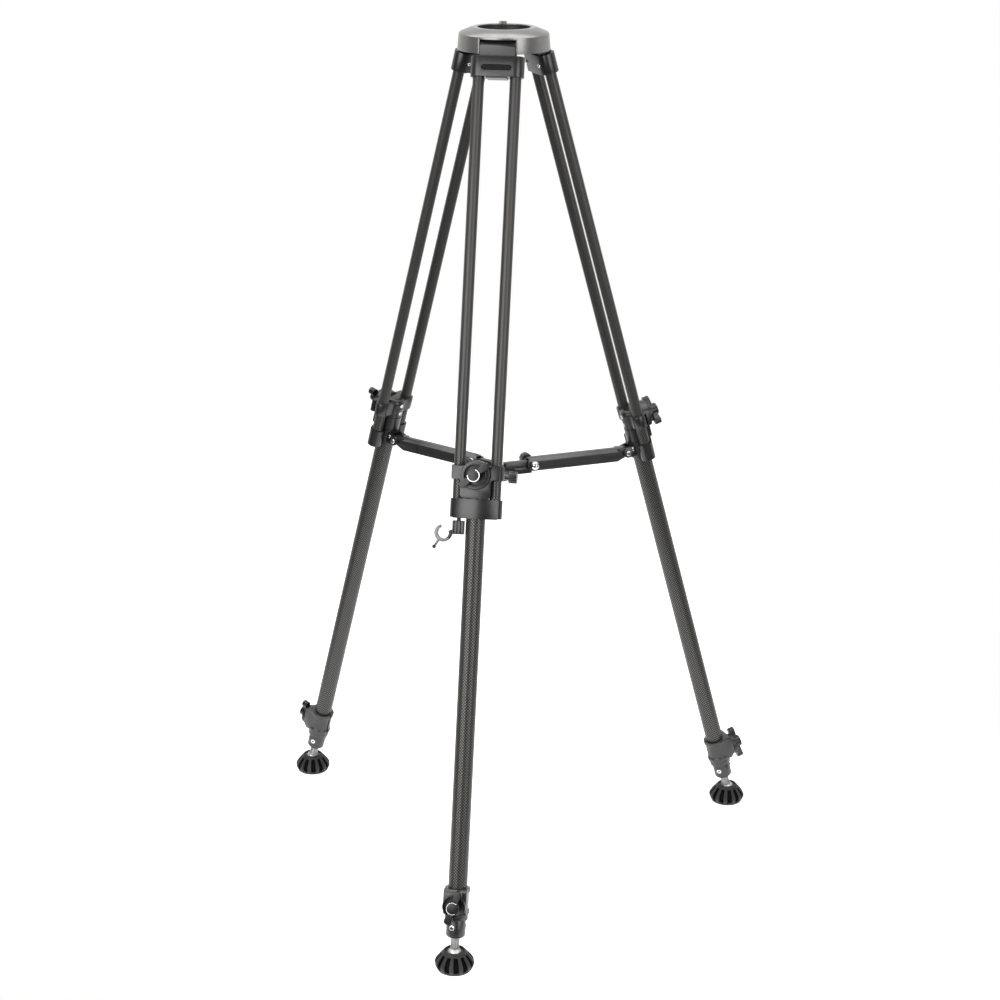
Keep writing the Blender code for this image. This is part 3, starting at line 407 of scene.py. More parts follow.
def speckled(name, level, roughness, grain, bump=0.08, specular=0.5, metallic=0.0, warm=0.0):
    """Finish with a fine grain in its colour, gloss and surface."""
    shader = Shader(name, roughness, metallic, specular)
    fine = shader.noise(grain, 5.0)
    broad = shader.noise(grain / 40, 2.0)
    mixed = shader.math("ADD", shader.math("MULTIPLY", fine, 0.6), shader.math("MULTIPLY", broad, 0.4))
    stops = ((0.3, grey(level * 0.78, warm)), (0.7, grey(level * 1.22, warm)))
    shader.set("Base Color", shader.ramp(mixed, stops))
    varied(shader, fine, roughness, 0.16)
    shader.bump(fine, bump, 0.0002)
    return shader.material


def carbon_weave(name, warm):
    """Braid of slanting fibre bundles on the tube's own map, with dark lines between them."""
    shader = Shader(name, 0.34, specular=0.36)
    where = shader.add("ShaderNodeTexCoord").outputs["UV"]
    checks = shader.add("ShaderNodeTexChecker", Vector=where, Scale=1.0).outputs["Fac"]
    bands = []
    strands = []
    for direction in ("X", "Y"):
        band = shader.add("ShaderNodeTexWave", Vector=where, Scale=math.pi / 10)
        band.bands_direction = direction
        bands.append(band.outputs["Fac"])
        strand = shader.add("ShaderNodeTexWave", Vector=where, Scale=2.2, Distortion=0.4)
        strand.bands_direction = direction
        strands.append(strand.outputs["Fac"])
    bundles = shader.math("MULTIPLY", bands[0], bands[1])
    fibres = shader.math("MULTIPLY", shader.math("ADD", strands[0], strands[1]), 0.12)
    lean = shader.math("ADD", shader.math("MULTIPLY", checks, 0.24), 0.64)
    weave = shader.math("MULTIPLY", bundles, shader.math("ADD", lean, fibres))
    stops = ((0.0, grey(0.008, warm)), (0.2, grey(0.045, warm)), (0.8, grey(0.17, warm)))
    shader.set("Base Color", shader.ramp(weave, stops))
    shader.set("Metallic", shader.math("MULTIPLY", weave, 0.9))
    shader.set("Roughness", shader.math("SUBTRACT", 0.38, shader.math("MULTIPLY", weave, 0.10)))
    shader.bump(weave, 0.2, 0.0001)
    return shader.material


def brushed(name, level, roughness, grain):
    """Bright metal with fine lines and faint handling marks."""
    shader = Shader(name, roughness, 1.0)
    lines = shader.noise(grain, 6.0)
    stops = ((0.3, grey(level * 0.88, 0.01)), (0.7, grey(level, 0.01)))
    shader.set("Base Color", shader.ramp(lines, stops))
    varied(shader, lines, roughness, 0.14)
    shader.bump(lines, 0.08, 0.0001)
    return shader.material


FINISHES = {
    "cast_silver": speckled("cast_silver_dressed", 0.22, 0.30, 2600.0, metallic=0.75, warm=0.015),
    "rim_silver": brushed("rim_machined", 0.40, 0.30, 900.0),
    "black_cast": speckled("black_cast_dressed", 0.006, 0.31, 1900.0, bump=0.10, specular=0.72, warm=0.01),
    "black_knob": speckled("black_knob_dressed", 0.006, 0.30, 1500.0, specular=0.46),
    "bowl_black": speckled("bowl_black_dressed", 0.014, 0.45, 1200.0, specular=0.40),
    # Painted shade for the floors of the pad's grooves, which are the same rubber as the ribs
    "groove_black": speckled("painted_groove_shade_dressed", 0.003, 0.60, 1300.0, bump=0.10, specular=0.05),
    "label_black": speckled("label_black_dressed", 0.004, 0.16, 700.0, bump=0.02, specular=0.1),
    "label_grey": speckled("label_grey_dressed", 0.050, 0.30, 900.0, bump=0.04, specular=0.4),
    "carbon": carbon_weave("carbon_dressed", 0.03),
    "arm_grey": speckled("arm_grey_dressed", 0.009, 0.30, 1700.0, bump=0.06, specular=1.0, warm=0.01),
    "steel": brushed("steel_dressed", 0.82, 0.16, 1400.0),
    "zinc": brushed("zinc_dressed", 0.36, 0.44, 1100.0),
    "rubber": speckled("rubber_dressed", 0.014, 0.50, 1300.0, bump=0.18, specular=0.40),
    "clip_grey": speckled("clip_grey_dressed", 0.20, 0.34, 900.0, bump=0.05, metallic=0.2, warm=-0.01),
    "wing_mark": brushed("mark_silver", 0.84, 0.26, 1000.0),
    # Rough bright steel for the cup, also the painted highlight band on the stud's ball
    "ball_steel": brushed("bright_steel_and_highlight_dressed", 0.80, 0.52, 1000.0),
}


def put(data, name="shape"):
    """Object linked to the scene, which is a working shape unless it is named."""
    thing = bpy.data.objects.new(name, data)
    bpy.context.scene.collection.objects.link(thing)
    return thing


def drop(shape):
    """Remove a working shape."""
    bpy.data.objects.remove(shape, do_unlink=True)


def settle(shape):
    """Carry out a shape's modifiers."""
    graph = bpy.context.evaluated_depsgraph_get()
    mesh = bpy.data.meshes.new_from_object(shape.evaluated_get(graph))
    drop(shape)
    return put(mesh)


def from_bmesh(bm):
    """Turn a bmesh into a working shape."""
    mesh = bpy.data.meshes.new("shape")
    bm.to_mesh(mesh)
    bm.free()
    return put(mesh)


def block(low, high):
    """Box between two corners."""
    low = Vector(low)
    high = Vector(high)
    bm = bmesh.new()
    size = Matrix.Diagonal((*(high - low), 1.0))
    bmesh.ops.create_cube(bm, size=1.0, matrix=Matrix.Translation((low + high) / 2) @ size)
    return from_bmesh(bm)


def beam(half, depths, levels):
    """Box that is even about X, from one depth and level to another."""
    return block((-half, depths[0], levels[0]), (half, depths[1], levels[1]))


def facing(point, direction):
    """Matrix that puts a shape's origin at a point and its +Z along a direction."""
    turn = Vector(direction).to_track_quat("Z", "Y").to_matrix().to_4x4()
    return Matrix.Translation(Vector(point)) @ turn


def rod(radius, start, end, sides=FINE, end_radius=None):
    """Round bar or cone between two points."""
    start = Vector(start)
    end = Vector(end)
    line = end - start
    bm = bmesh.new()
    bmesh.ops.create_cone(
        bm,
        cap_ends=True,
        segments=sides,
        radius1=radius,
        radius2=radius if end_radius is None else end_radius,
        depth=line.length,
        matrix=facing((start + end) / 2, line),
    )
    return from_bmesh(bm)


def upright(radius, low, high, x=0.0):
    """Round bar along Z."""
    return rod(radius, (x, 0, low), (x, 0, high))


def twins(radius, low, high):
    """Upright bars at the places of both twin tubes."""
    return [upright(radius, low, high, side * TWIN_X) for side in (-1, 1)]


def crossbar(radius, half, y=0.0, z=0.0):
    """Thin round bar along X."""
    return rod(radius, (-half, y, z), (half, y, z), COARSE)


def standing(y, z=0.0):
    """Matrix that stands an outline up to face the front, at a depth and a level."""
    return Matrix.Translation((0.0, y, z)) @ ACROSS


def ball(radius, centre, sides=COARSE):
    """Sphere at a point."""
    bm = bmesh.new()
    matrix = Matrix.Translation(Vector(centre))
    bmesh.ops.create_uvsphere(bm, u_segments=sides, v_segments=sides // 2, radius=radius, matrix=matrix)
    return from_bmesh(bm)


def turned(profile, steps=FINE, ring=False):
    """Solid turned about Z from (radius, height) points that run down the outer side."""
    mesh = bpy.data.meshes.new("profile")
    points = [(radius, 0.0, height) for radius, height in profile]
    edges = [(index, index + 1) for index in range(len(points) - 1)]
    if ring:
        edges.append((len(points) - 1, 0))
    mesh.from_pydata(points, edges, [])
    shape = put(mesh)
    screw = shape.modifiers.new("turn", "SCREW")
    screw.axis = "Z"
    screw.steps = steps
    screw.render_steps = steps
    screw.use_merge_vertices = True
    screw.merge_threshold = 0.00001
    return outwards(settle(shape))


def outwards(shape):
    """Weld doubled points and point the faces outwards."""
    bm = bmesh.new()
    bm.from_mesh(shape.data)
    bmesh.ops.remove_doubles(bm, verts=bm.verts, dist=0.000005)
    bmesh.ops.recalc_face_normals(bm, faces=bm.faces)
    bm.to_mesh(shape.data)
    bm.free()
    return shape


def slab(outline, thickness, matrix):
    """Flat outline in X and Y, given thickness about its own plane, then moved by a matrix."""
    curve = bpy.data.curves.new("outline", "CURVE")
    curve.dimensions = "2D"
    curve.fill_mode = "BOTH"
    curve.extrude = thickness / 2
    spline = curve.splines.new("POLY")
    spline.points.add(len(outline) - 1)
    for point, (x, y) in zip(spline.points, outline):
        point.co = (x, y, 0.0, 1.0)
    spline.use_cyclic_u = True
    shape = outwards(settle(put(curve)))
    shape.data.transform(matrix)
    return shape


def arc(centre, radius, start, end, steps):
    """Points on an arc from one angle to another."""
    turns = [start + (end - start) * index / steps for index in range(steps + 1)]
    return [(centre[0] + radius * math.cos(turn), centre[1] + radius * math.sin(turn)) for turn in turns]


def stadium(length, width, steps=12):
    """Outline with straight sides and round ends, long in X."""
    reach = (length - width) / 2
    right = arc((reach, 0.0), width / 2, -math.pi / 2, math.pi / 2, steps)
    return right + [(-x, -y) for x, y in right]


def boolean(shape, tools, operation):
    """Join or cut a shape with others, which are used up."""
    for tool in tools:
        step = shape.modifiers.new("step", "BOOLEAN")
        step.operation = operation
        step.solver = "EXACT"
        step.object = tool
    result = settle(shape)
    for tool in tools:
        drop(tool)
    return result


def cut(shape, *tools):
    """Take the tools out of a shape."""
    return boolean(shape, tools, "DIFFERENCE")


def join(shape, *tools):
    """Join the tools to a shape as one body."""
    return boolean(shape, tools, "UNION")


def soft_edges(shape, width=EDGE, segments=2, angle=math.radians(40)):
    """Round a shape's sharp edges so that they catch the light."""
    bevel = shape.modifiers.new("edges", "BEVEL")
    bevel.width = width
    bevel.segments = segments
    bevel.limit_method = "ANGLE"
    bevel.angle_limit = angle
    bevel.miter_outer = "MITER_ARC"
    return settle(shape)


def pipe(radius, wall, low, high, x=0.0):
    """Open tube along Z whose map counts weave cells along both slants of the weave."""
    bm = bmesh.new()
    layer = bm.loops.layers.uv.new("weave")
    cells = round(2 * math.pi * radius / WEAVE_CELL)
    rings = []
    turns = [2 * math.pi * index / FINE for index in range(FINE)]
    for reach, level in ((radius, low), (radius, high), (radius - wall, high), (radius - wall, low)):
        rings.append([bm.verts.new((x + reach * math.cos(t), reach * math.sin(t), level)) for t in turns])
    for ring in range(4):
        here = rings[ring]
        there = rings[(ring + 1) % 4]
        for index in range(FINE):
            after = (index + 1) % FINE
            face = bm.faces.new((here[index], here[after], there[after], there[index]))
            spans = (index, index + 1, index + 1, index)
            for loop, span in zip(face.loops, spans):
                round_it = span / FINE * cells
                along = loop.vert.co.z / WEAVE_CELL
                loop[layer].uv = (round_it + along, round_it - along)
    bmesh.ops.recalc_face_normals(bm, faces=bm.faces)
    return from_bmesh(bm)


def around(maker):
    """Three copies of a tool about the tripod's axis."""
    tools = []
    for turn in LEG_TURNS.values():
        tool = maker()
        tool.data.transform(Matrix.Rotation(turn, 4, "Z"))
        tools.append(tool)
    return tools


def paint(shape, chosen):
    """Give the faces that a test picks the second finish of their piece."""
    for face in shape.data.polygons:
        if chosen(face):
            face.material_index = 1
    return shape


def dress(name, shape, finish, matrix, body, *nodes, second=None):
    """Make a piece from a shape, in its place, riding on a body and standing for its nodes."""
    mesh = shape.data.copy()
    mesh.transform(matrix)
    mesh.materials.append(FINISHES[finish])
    if second:
        mesh.materials.append(FINISHES[second])
    mesh.shade_smooth()
    mesh.set_sharp_from_angle(angle=SHARP_ANGLE)
    piece = put(mesh, name)
    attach(piece, body)
    if nodes:
        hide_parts(*nodes)


def crown_shape():
    """Cast crown with its bowl hole, windows, pin holes and tab."""
    bore = BOWL_RADIUS + SEAT_WALL + GAP
    profile = [
        (RIM_LAND_RADIUS, 0.0),
        (CROWN_TOP_RADIUS - CROWN_ROUND, -CROWN_CHAMFER + CROWN_RISE),
        (CROWN_TOP_RADIUS, -CROWN_CHAMFER - CROWN_ROUND),
        (CROWN_BOTTOM_RADIUS, -CROWN_HEIGHT),
        (bore, -CROWN_HEIGHT),
        (bore, -RIM_LIP),
        (BOWL_RADIUS, -RIM_LIP),
        (BOWL_RADIUS, 0.0),
    ]
    ceiling = -PIVOT_DROP + YOKE_BARREL_RADIUS + GAP

    def window():
        depths = (-2 * CROWN_BOTTOM_RADIUS, -BOWL_RADIUS * 0.75)
        return beam(WINDOW_WIDTH / 2, depths, (-2 * CROWN_HEIGHT, ceiling))

    def pin_hole():
        return crossbar(HINGE_PIN_RADIUS + GAP, HINGE_PIN_LENGTH / 2 + GAP, -PIVOT_RADIUS, -PIVOT_DROP)

    width, depth, height = TAB_SIZE
    tab = beam(width / 2, (RIM_LAND_RADIUS - depth, RIM_LAND_RADIUS), (-RIM_LIP / 2, height))
    tab.data.transform(Matrix.Rotation(TAB_TURN, 4, "Z"))
    body = join(turned(profile, 2 * FINE, ring=True), tab)
    body = soft_edges(cut(body, *around(window), *around(pin_hole)), CROWN_EDGE)
    return paint(body, on_rim)


def on_rim(face):
    """True for the flat land round the bowl."""
    flat = face.normal.z > 0.99 and abs(face.center.z) < EDGE / 3
    return flat and face.center.xy.length < RIM_LAND_RADIUS


def seat_shape():
    """Spherical bowl seat."""
    top = -RIM_LIP - GAP
    levels = [top + (-SEAT_DEPTH - top) * index / 14 for index in range(15)]

    def wall(radius):
        return [(math.sqrt(radius ** 2 - level ** 2), level) for level in levels]

    return turned(wall(BOWL_RADIUS + SEAT_WALL) + wall(BOWL_RADIUS)[::-1], 2 * FINE, ring=True)


def yoke_shape():
    """Leg yoke with its barrel, neck, block, sockets and bare label recess."""
    half_barrel = WINDOW_WIDTH / 2 - YOKE_SIDE_GAP
    deep = YOKE_DEPTH / 2
    neck = YOKE_NECK_DEPTH / 2 - GAP
    middle = Matrix.Translation((0.0, 0.0, (YOKE_TOP + YOKE_BOTTOM) / 2))
    body = slab(stadium(YOKE_WIDTH, YOKE_DEPTH), YOKE_TOP - YOKE_BOTTOM, middle)
    body = soft_edges(body, YOKE_EDGE, 3, math.radians(60))
    barrel = soft_edges(rod(YOKE_BARREL_RADIUS, (-half_barrel, 0, 0), (half_barrel, 0, 0)))
    riser = beam(half_barrel - GAP, (-neck, neck), (YOKE_TOP - YOKE_EDGE - GAP, -GAP))
    lip_deep = deep - 2 * YOKE_EDGE
    lip_levels = (YOKE_BOTTOM - YOKE_LIP, YOKE_BOTTOM + YOKE_LIP)
    lip = beam(YOKE_LIP_WIDTH / 2, (-lip_deep, lip_deep), lip_levels)
    body = join(body, riser, barrel, lip)
    floor = YOKE_BOTTOM + SOCKET_DEPTH + GAP
    below = YOKE_BOTTOM - 3 * YOKE_LIP
    recess = slab(stadium(LABEL_WIDTH, LABEL_HEIGHT), 2 * LABEL_DEPTH, standing(-deep, LABEL_LEVEL))
    pin_bore = crossbar(HINGE_PIN_RADIUS + GAP, YOKE_WIDTH / 2)
    return cut(body, pin_bore, recess, *twins(TWIN_RADIUS + GAP, below, floor))


def label_shapes():
    """Bare inlay in the yoke's label recess, and the thin light rim round it."""
    back = YOKE_DEPTH / 2 - LABEL_DEPTH
    inside = stadium(LABEL_WIDTH - 2 * LABEL_RIM, LABEL_HEIGHT - 2 * LABEL_RIM)
    inlay = slab(inside, LABEL_DEPTH / 2, standing(-back - LABEL_DEPTH / 3, LABEL_LEVEL))
    inlay = soft_edges(inlay, LABEL_DEPTH / 8, 1, math.radians(60))
    at = standing(-back - LABEL_DEPTH / 2, LABEL_LEVEL)
    rim = slab(stadium(LABEL_WIDTH - GAP / 4, LABEL_HEIGHT - GAP / 4), LABEL_DEPTH, at)
    return inlay, cut(rim, slab(inside, 3 * LABEL_DEPTH, at))


def collar_shape():
    """Collar with its arc front, tube rings and arm fork."""
    rise = COLLAR_BULGE - COLLAR_RING_RADIUS
    radius = (TWIN_X ** 2 + COLLAR_BULGE ** 2 - COLLAR_RING_RADIUS ** 2) / (2 * rise)
    swing = math.atan2(TWIN_X, radius - COLLAR_BULGE)
    half = radius * math.sin(swing)
    down = -math.pi / 2
    front = arc((0.0, radius - COLLAR_BULGE), radius, down - swing, down + swing, 28)
    outline = front + [(half, 2 * COLLAR_EDGE), (-half, 2 * COLLAR_EDGE)]
    middle = Matrix.Translation((0.0, 0.0, COLLAR_TOP - COLLAR_HEIGHT / 2))
    body = soft_edges(slab(outline, COLLAR_HEIGHT, middle), COLLAR_EDGE, 3, math.radians(60))
    inset = COLLAR_EDGE / 2
    low = COLLAR_BOTTOM
    rings = twins(COLLAR_RING_RADIUS, low + inset, COLLAR_TOP - inset)
    back = upright(COLLAR_BACK_RADIUS, low + inset / 2, COLLAR_TOP - inset / 2)
    body = join(body, back, fork_shape(), *rings)
    above = COLLAR_TOP + COLLAR_FLOOR
    bore = upright(MID_RADIUS + GAP, low - COLLAR_FLOOR, above)
    sockets = twins(TWIN_RADIUS + GAP, low + COLLAR_FLOOR - GAP, above)
    return cut(body, bore, *sockets)


def fork_shape():
    """Two cheeks that hold the arm's pin."""
    level = ARM_PIVOT_LEVEL
    half = FORK_HEIGHT / 2
    root = COLLAR_BACK_RADIUS / 2
    nose = arc((ARM_PIVOT_DEPTH, level), FORK_NOSE, -math.pi / 2, math.pi / 2, 16)
    outline = nose + [(root, level + half), (root, level - half)]
    cheeks = soft_edges(slab(outline, 2 * FORK_HALF, SIDEWAYS))
    depths = (ARM_PIVOT_DEPTH - ARM_TONGUE - GAP, ARM_PIVOT_DEPTH + 2 * FORK_NOSE)
    levels = (level - 2 * FORK_HEIGHT, level + 2 * FORK_HEIGHT)
    mouth = beam(ARM_WIDTH / 2 + GAP, depths, levels)
    return cut(cheeks, mouth, crossbar(PIN_RADIUS + GAP, 2 * FORK_HALF, ARM_PIVOT_DEPTH, level))


def pin_shape():
    """Arm pin with a domed head at each end."""
    head = FORK_HALF + GAP
    tip = head + PIN_HEAD_HEIGHT
    level = ARM_PIVOT_LEVEL
    depth = ARM_PIVOT_DEPTH
    pin = crossbar(PIN_RADIUS, head + GAP, depth, level)
    ends = []
    for side in (-1, 1):
        end = rod(PIN_HEAD_RADIUS, (side * head, depth, level), (side * tip, depth, level), COARSE)
        ends.append(soft_edges(end, PIN_HEAD_HEIGHT * 0.6, 4))
    return join(pin, *ends)


def slider_body():
    """Round body of the slider with its domed top and ring grooves."""
    seat = COLLAR_TOP + GAP
    dome = arc((SLIDER_RADIUS - DOME_DROP, SLIDER_TOP - DOME_DROP), DOME_DROP, math.pi / 2, 0.0, 8)
    profile = [(0.0, SLIDER_TOP)] + dome
    for level in SLIDER_GROOVES:
        top = level + GROOVE_WIDTH / 2
        low = level - GROOVE_WIDTH / 2
        neck = SLIDER_RADIUS - GROOVE_DEPTH
        profile += [(SLIDER_RADIUS, top), (neck, top - GAP / 3)]
        profile += [(neck, low + GAP / 3), (SLIDER_RADIUS, low)]
    profile += [(SLIDER_RADIUS, seat), (0.0, seat)]
    return turned(profile)


def apron_outline():
    """Outline of the slider's front: the apron below, filleted into the shoulders over the sleeves."""
    fillet = APRON_FILLET
    flank = APRON_HALF + fillet
    shoulder = TWIN_X + SLEEVE_RADIUS - SHOULDER_INSET
    apron_low = COLLAR_TOP + 3 * GAP
    web_low = SLEEVE_TOP - SLEEVE_HEIGHT + 3 * GAP
    inner = APRON_HALF - APRON_CORNER
    left = arc((-inner, apron_low + APRON_CORNER), APRON_CORNER, math.pi, 1.5 * math.pi, 8)
    right = arc((inner, apron_low + APRON_CORNER), APRON_CORNER, 1.5 * math.pi, 2 * math.pi, 8)
    right_web = arc((flank, web_low - fillet), fillet, math.pi, math.pi / 2, 8)
    left_web = arc((-flank, web_low - fillet), fillet, math.pi / 2, 0.0, 8)
    top = SLEEVE_TOP - 3 * GAP
    toe = web_low - fillet / 4
    corners = [(shoulder, toe), (shoulder, top), (-shoulder, top), (-shoulder, toe)]
    return left + right + right_web + corners + left_web


def slider_shape():
    """Slider with sleeves, body, apron and knob boss."""
    sleeve_low = SLEEVE_TOP - SLEEVE_HEIGHT
    sleeves = [soft_edges(bar, 2 * EDGE) for bar in twins(SLEEVE_RADIUS, sleeve_low, SLEEVE_TOP)]
    deep = SLEEVE_RADIUS - 2 * GAP
    bridge = beam(TWIN_X, (-deep, deep), (sleeve_low + 2 * GAP, SLEEVE_TOP - 2 * GAP))
    skirt_half = TWIN_X - TWIN_RADIUS - 2 * GAP
    middle = -APRON_FRONT + APRON_THICKNESS / 2
    skirt = beam(skirt_half, (middle, -GAP), (COLLAR_TOP + 2 * GAP, sleeve_low + 4 * GAP))
    apron = soft_edges(slab(apron_outline(), APRON_THICKNESS, standing(middle)))
    boss_end = (0, -BOSS_FRONT, BOSS_LEVEL)
    boss = soft_edges(rod(BOSS_RADIUS, (0, -MID_RADIUS / 2, BOSS_LEVEL), boss_end), 2 * EDGE, 3)
    body = join(slider_body(), bridge, skirt, apron, boss, *sleeves)
    reach = SLEEVE_HEIGHT
    bores = twins(TWIN_RADIUS + GAP, COLLAR_TOP - reach, SLEEVE_TOP + reach)
    hole = upright(MID_RADIUS + GAP, COLLAR_TOP - reach, MID_TUBE_TOP + GAP)
    return cut(body, hole, *bores)


def wing_outline(span):
    """Two wings with swollen tips and drawn-in necks."""
    tip = WING_WIDTH / 2
    reach = span / 2 - tip
    swing = math.radians(105)
    right = arc((reach, 0.0), tip, -swing, swing, 16)
    half = right + [(reach / 2, WING_NECK), (-reach / 2, WING_NECK)]
    return half + [(-x, -y) for x, y in half]


def knob_shapes(span, turn, front, ends):
    """Wing knob in front of a face, about its own axis, and the bright open ring on its cap."""
    base_back = front + GAP
    base_front = base_back + KNOB_BASE_HEIGHT
    wing_front = base_front + KNOB_WING_HEIGHT
    cap_front = wing_front + KNOB_CAP_HEIGHT
    base = rod(KNOB_BASE_RADIUS, (0, -base_back, 0), (0, -base_front, 0))
    floor = base_front - KNOB_DISH
    dish = rod(KNOB_BASE_RADIUS - KNOB_RIM, (0, -floor, 0), (0, -2 * base_front, 0))
    base = soft_edges(cut(base, dish), EDGE, 3)
    middle = (base_front + wing_front) / 2 - GAP
    wing_at = Matrix.Translation((0.0, -middle, 0.0)) @ Matrix.Rotation(-turn, 4, "Y") @ ACROSS
    wings = soft_edges(slab(wing_outline(span), KNOB_WING_HEIGHT, wing_at), WING_EDGE, 4)
    cap = soft_edges(rod(KNOB_CAP_RADIUS, (0, -floor + 3 * GAP, 0), (0, -cap_front, 0)), EDGE, 3)
    outer = arc((0.0, 0.0), MARK_RADIUS + MARK_WIDTH / 2, *ends, 30)
    inner = arc((0.0, 0.0), MARK_RADIUS - MARK_WIDTH / 2, *ends, 30)
    mark = slab(outer + inner[::-1], MARK_WIDTH / 2, standing(-cap_front))
    return join(base, wings, cap), mark


def low_clamp_shape():
    """Low clamp with its boxed front, neck and slit."""
    sleeve_low = LOW_BOTTOM + LOW_NECK_HEIGHT
    neck = soft_edges(upright(LOW_NECK_RADIUS, LOW_BOTTOM, sleeve_low + GAP))
    waist = LOW_RADIUS - LOW_WAIST
    band_low = sleeve_low + LOW_BAND
    band_high = LOW_TOP - LOW_BAND
    profile = [
        (0.0, LOW_TOP),
        (LOW_RADIUS, LOW_TOP),
        (LOW_RADIUS, band_high),
        (waist, band_high - LOW_WAIST),
        (waist, band_low + LOW_WAIST),
        (LOW_RADIUS, band_low),
        (LOW_RADIUS, sleeve_low),
        (0.0, sleeve_low),
    ]
    sleeve = soft_edges(turned(profile))
    box_low = sleeve_low - GAP
    box_high = LOW_TOP - GAP
    trim = LOW_BOX_TRIM
    front = -LOW_BOX_FRONT
    outline = [(0.0, box_low), (front + trim, box_low), (front, box_low + trim)]
    outline += [(front, box_high - trim / 2), (front + trim / 2, box_high), (0.0, box_high)]
    box = soft_edges(slab(outline, 2 * LOW_BOX_HALF, SIDEWAYS), BOX_EDGE, 3)
    body = join(sleeve, neck, box)
    step = LOW_BOTTOM + LOW_STEP - GAP
    tube_bore = upright(MID_RADIUS + GAP, step, LOW_TOP + LOW_STEP)
    inner_bore = upright(INNER_RADIUS + GAP, LOW_BOTTOM - LOW_STEP, step + LOW_STEP / 2)
    slit_levels = (sleeve_low + LOW_STEP / 2, LOW_TOP + LOW_STEP)
    slit = beam(LOW_SLIT / 2, (MID_RADIUS - GAP, 2 * LOW_RADIUS), slit_levels)
    return cut(body, tube_bore, inner_bore, slit)


def plug_shape():
    """Plug under the inner tube."""
    spigot = INNER_RADIUS - INNER_WALL - GAP
    low = PLUG_TOP - PLUG_HEIGHT
    profile = [
        (0.0, PLUG_TOP + PLUG_SPIGOT),
        (spigot, PLUG_TOP + PLUG_SPIGOT),
        (spigot, PLUG_TOP),
        (PLUG_RADIUS, PLUG_TOP),
        (PLUG_RADIUS, low + PLUG_CHAMFER),
        (PLUG_RADIUS - PLUG_CHAMFER, low),
        (0.0, low),
    ]
    hole = upright(STUD_RADIUS + GAP, low - STUD_GRIP, low + STUD_GRIP + GAP)
    return soft_edges(cut(turned(profile), hole))


def stud_shape():
    """Threaded stud that ends in a ball, the ball's lower part painted bright metal as a painted highlight
    crescent.
    """
    top = PLUG_TOP - PLUG_HEIGHT + STUD_GRIP
    low = -LEG_LENGTH + BALL_RADIUS * 0.8
    turns = int((top - low) / THREAD_PITCH)
    pitch = (top - low) / turns
    profile = [(0.0, top)]
    for index in range(turns):
        level = top - index * pitch
        profile += [(STUD_RADIUS - THREAD_DEPTH, level), (STUD_RADIUS, level - pitch / 2)]
    profile += [(STUD_RADIUS - THREAD_DEPTH, low), (0.0, low)]
    stud = join(ball(BALL_RADIUS, (0, 0, -LEG_LENGTH), FINE), turned(profile))
    # The ball below the stud's end takes the second, brighter finish: a painted highlight crescent
    return paint(stud, lambda face: face.center.z < low - BALL_HIGHLIGHT_DROP)


def cup_shape():
    """Bright round cup about the ball, its upward faces painted dark as painted shade in the gap under the
    ball.
    """
    seat = BALL_RADIUS + GAP
    outer = seat + CUP_WALL
    inside = arc((0.0, 0.0), seat, -math.pi / 2, math.asin(CUP_TOP / seat), 14)
    outside = arc((0.0, 0.0), outer, math.asin(CUP_TOP / outer), -math.pi / 2, 14)
    cup = turned(inside + outside)
    # Upward faces take the second finish: painted shade
    return paint(cup, lambda face: face.normal.z > 0.9)


def rounded(points, rounds):
    """Path with its corners cut again and again until it is smooth."""
    for _ in range(rounds):
        path = [points[0]]
        for (x, y), (next_x, next_y) in zip(points, points[1:]):
            for share in (0.25, 0.75):
                path.append((x + share * (next_x - x), y + share * (next_y - y)))
        points = path + [points[-1]]
    return points


def ramped(value, start, end):
    """Smooth step from 0 at one value to 1 at another."""
    part = min(max((value - start) / (end - start), 0.0), 1.0)
    return part * part * (3 - 2 * part)


def pad_shape():
    """Rubber foot about the ball, with deep grooves between its top ring and its rim, their floors painted
    dark as painted shade.
    """
    floor = -BALL_HEIGHT
    bore = BALL_RADIUS + CUP_WALL + 2 * GAP
    cavity = arc((0.0, 0.0), bore, -math.pi / 2, 0.0, 8)
    shoulder = (PAD_WIDEST + PAD_TOP) / 2
    shoulder_radius = (PAD_RADIUS + PAD_TOP_RADIUS) / 2 + PAD_FLUTE_DEPTH / 2
    ring_low = (shoulder + PAD_TOP) / 2
    knots = [
        (bore, PAD_TOP - PAD_MOUTH),
        (PAD_TOP_RADIUS, PAD_TOP),
        ((PAD_TOP_RADIUS + shoulder_radius) / 2, ring_low),
        (shoulder_radius, shoulder),
        (PAD_RADIUS, PAD_WIDEST + PAD_RIM / 2),
        (PAD_RADIUS, PAD_WIDEST - PAD_RIM / 2),
        (PAD_BASE_RADIUS, 0.0),
    ]
    outside = [(reach, floor + height) for reach, height in rounded(knots, 3)]
    shape = turned(cavity + outside + [(0.0, floor)], 16 * PAD_FLUTES)
    depths = {}
    for vertex in shape.data.vertices:
        height = vertex.co.z - floor
        reach = vertex.co.xy.length
        if reach < bore + GAP:
            continue
        part = math.atan2(vertex.co.y, vertex.co.x) / (2 * math.pi) * PAD_FLUTES
        across = 1.0 - ramped(abs(part % 1.0 - 0.5), GROOVE_FLOOR, GROOVE_LIP)
        above_rim = ramped(height, PAD_RIM * 0.7, PAD_RIM)
        below_ring = 1.0 - ramped(height, ring_low - PAD_RIM / 4, ring_low)
        share = across * above_rim * below_ring
        depths[vertex.index] = share
        vertex.co.xy *= (reach - PAD_GROOVE * share) / reach
    # Faces deep in a groove take the second finish: painted shade
    return paint(shape, lambda face: min(depths.get(index, 0.0) for index in face.vertices) > GROOVE_SHADE)


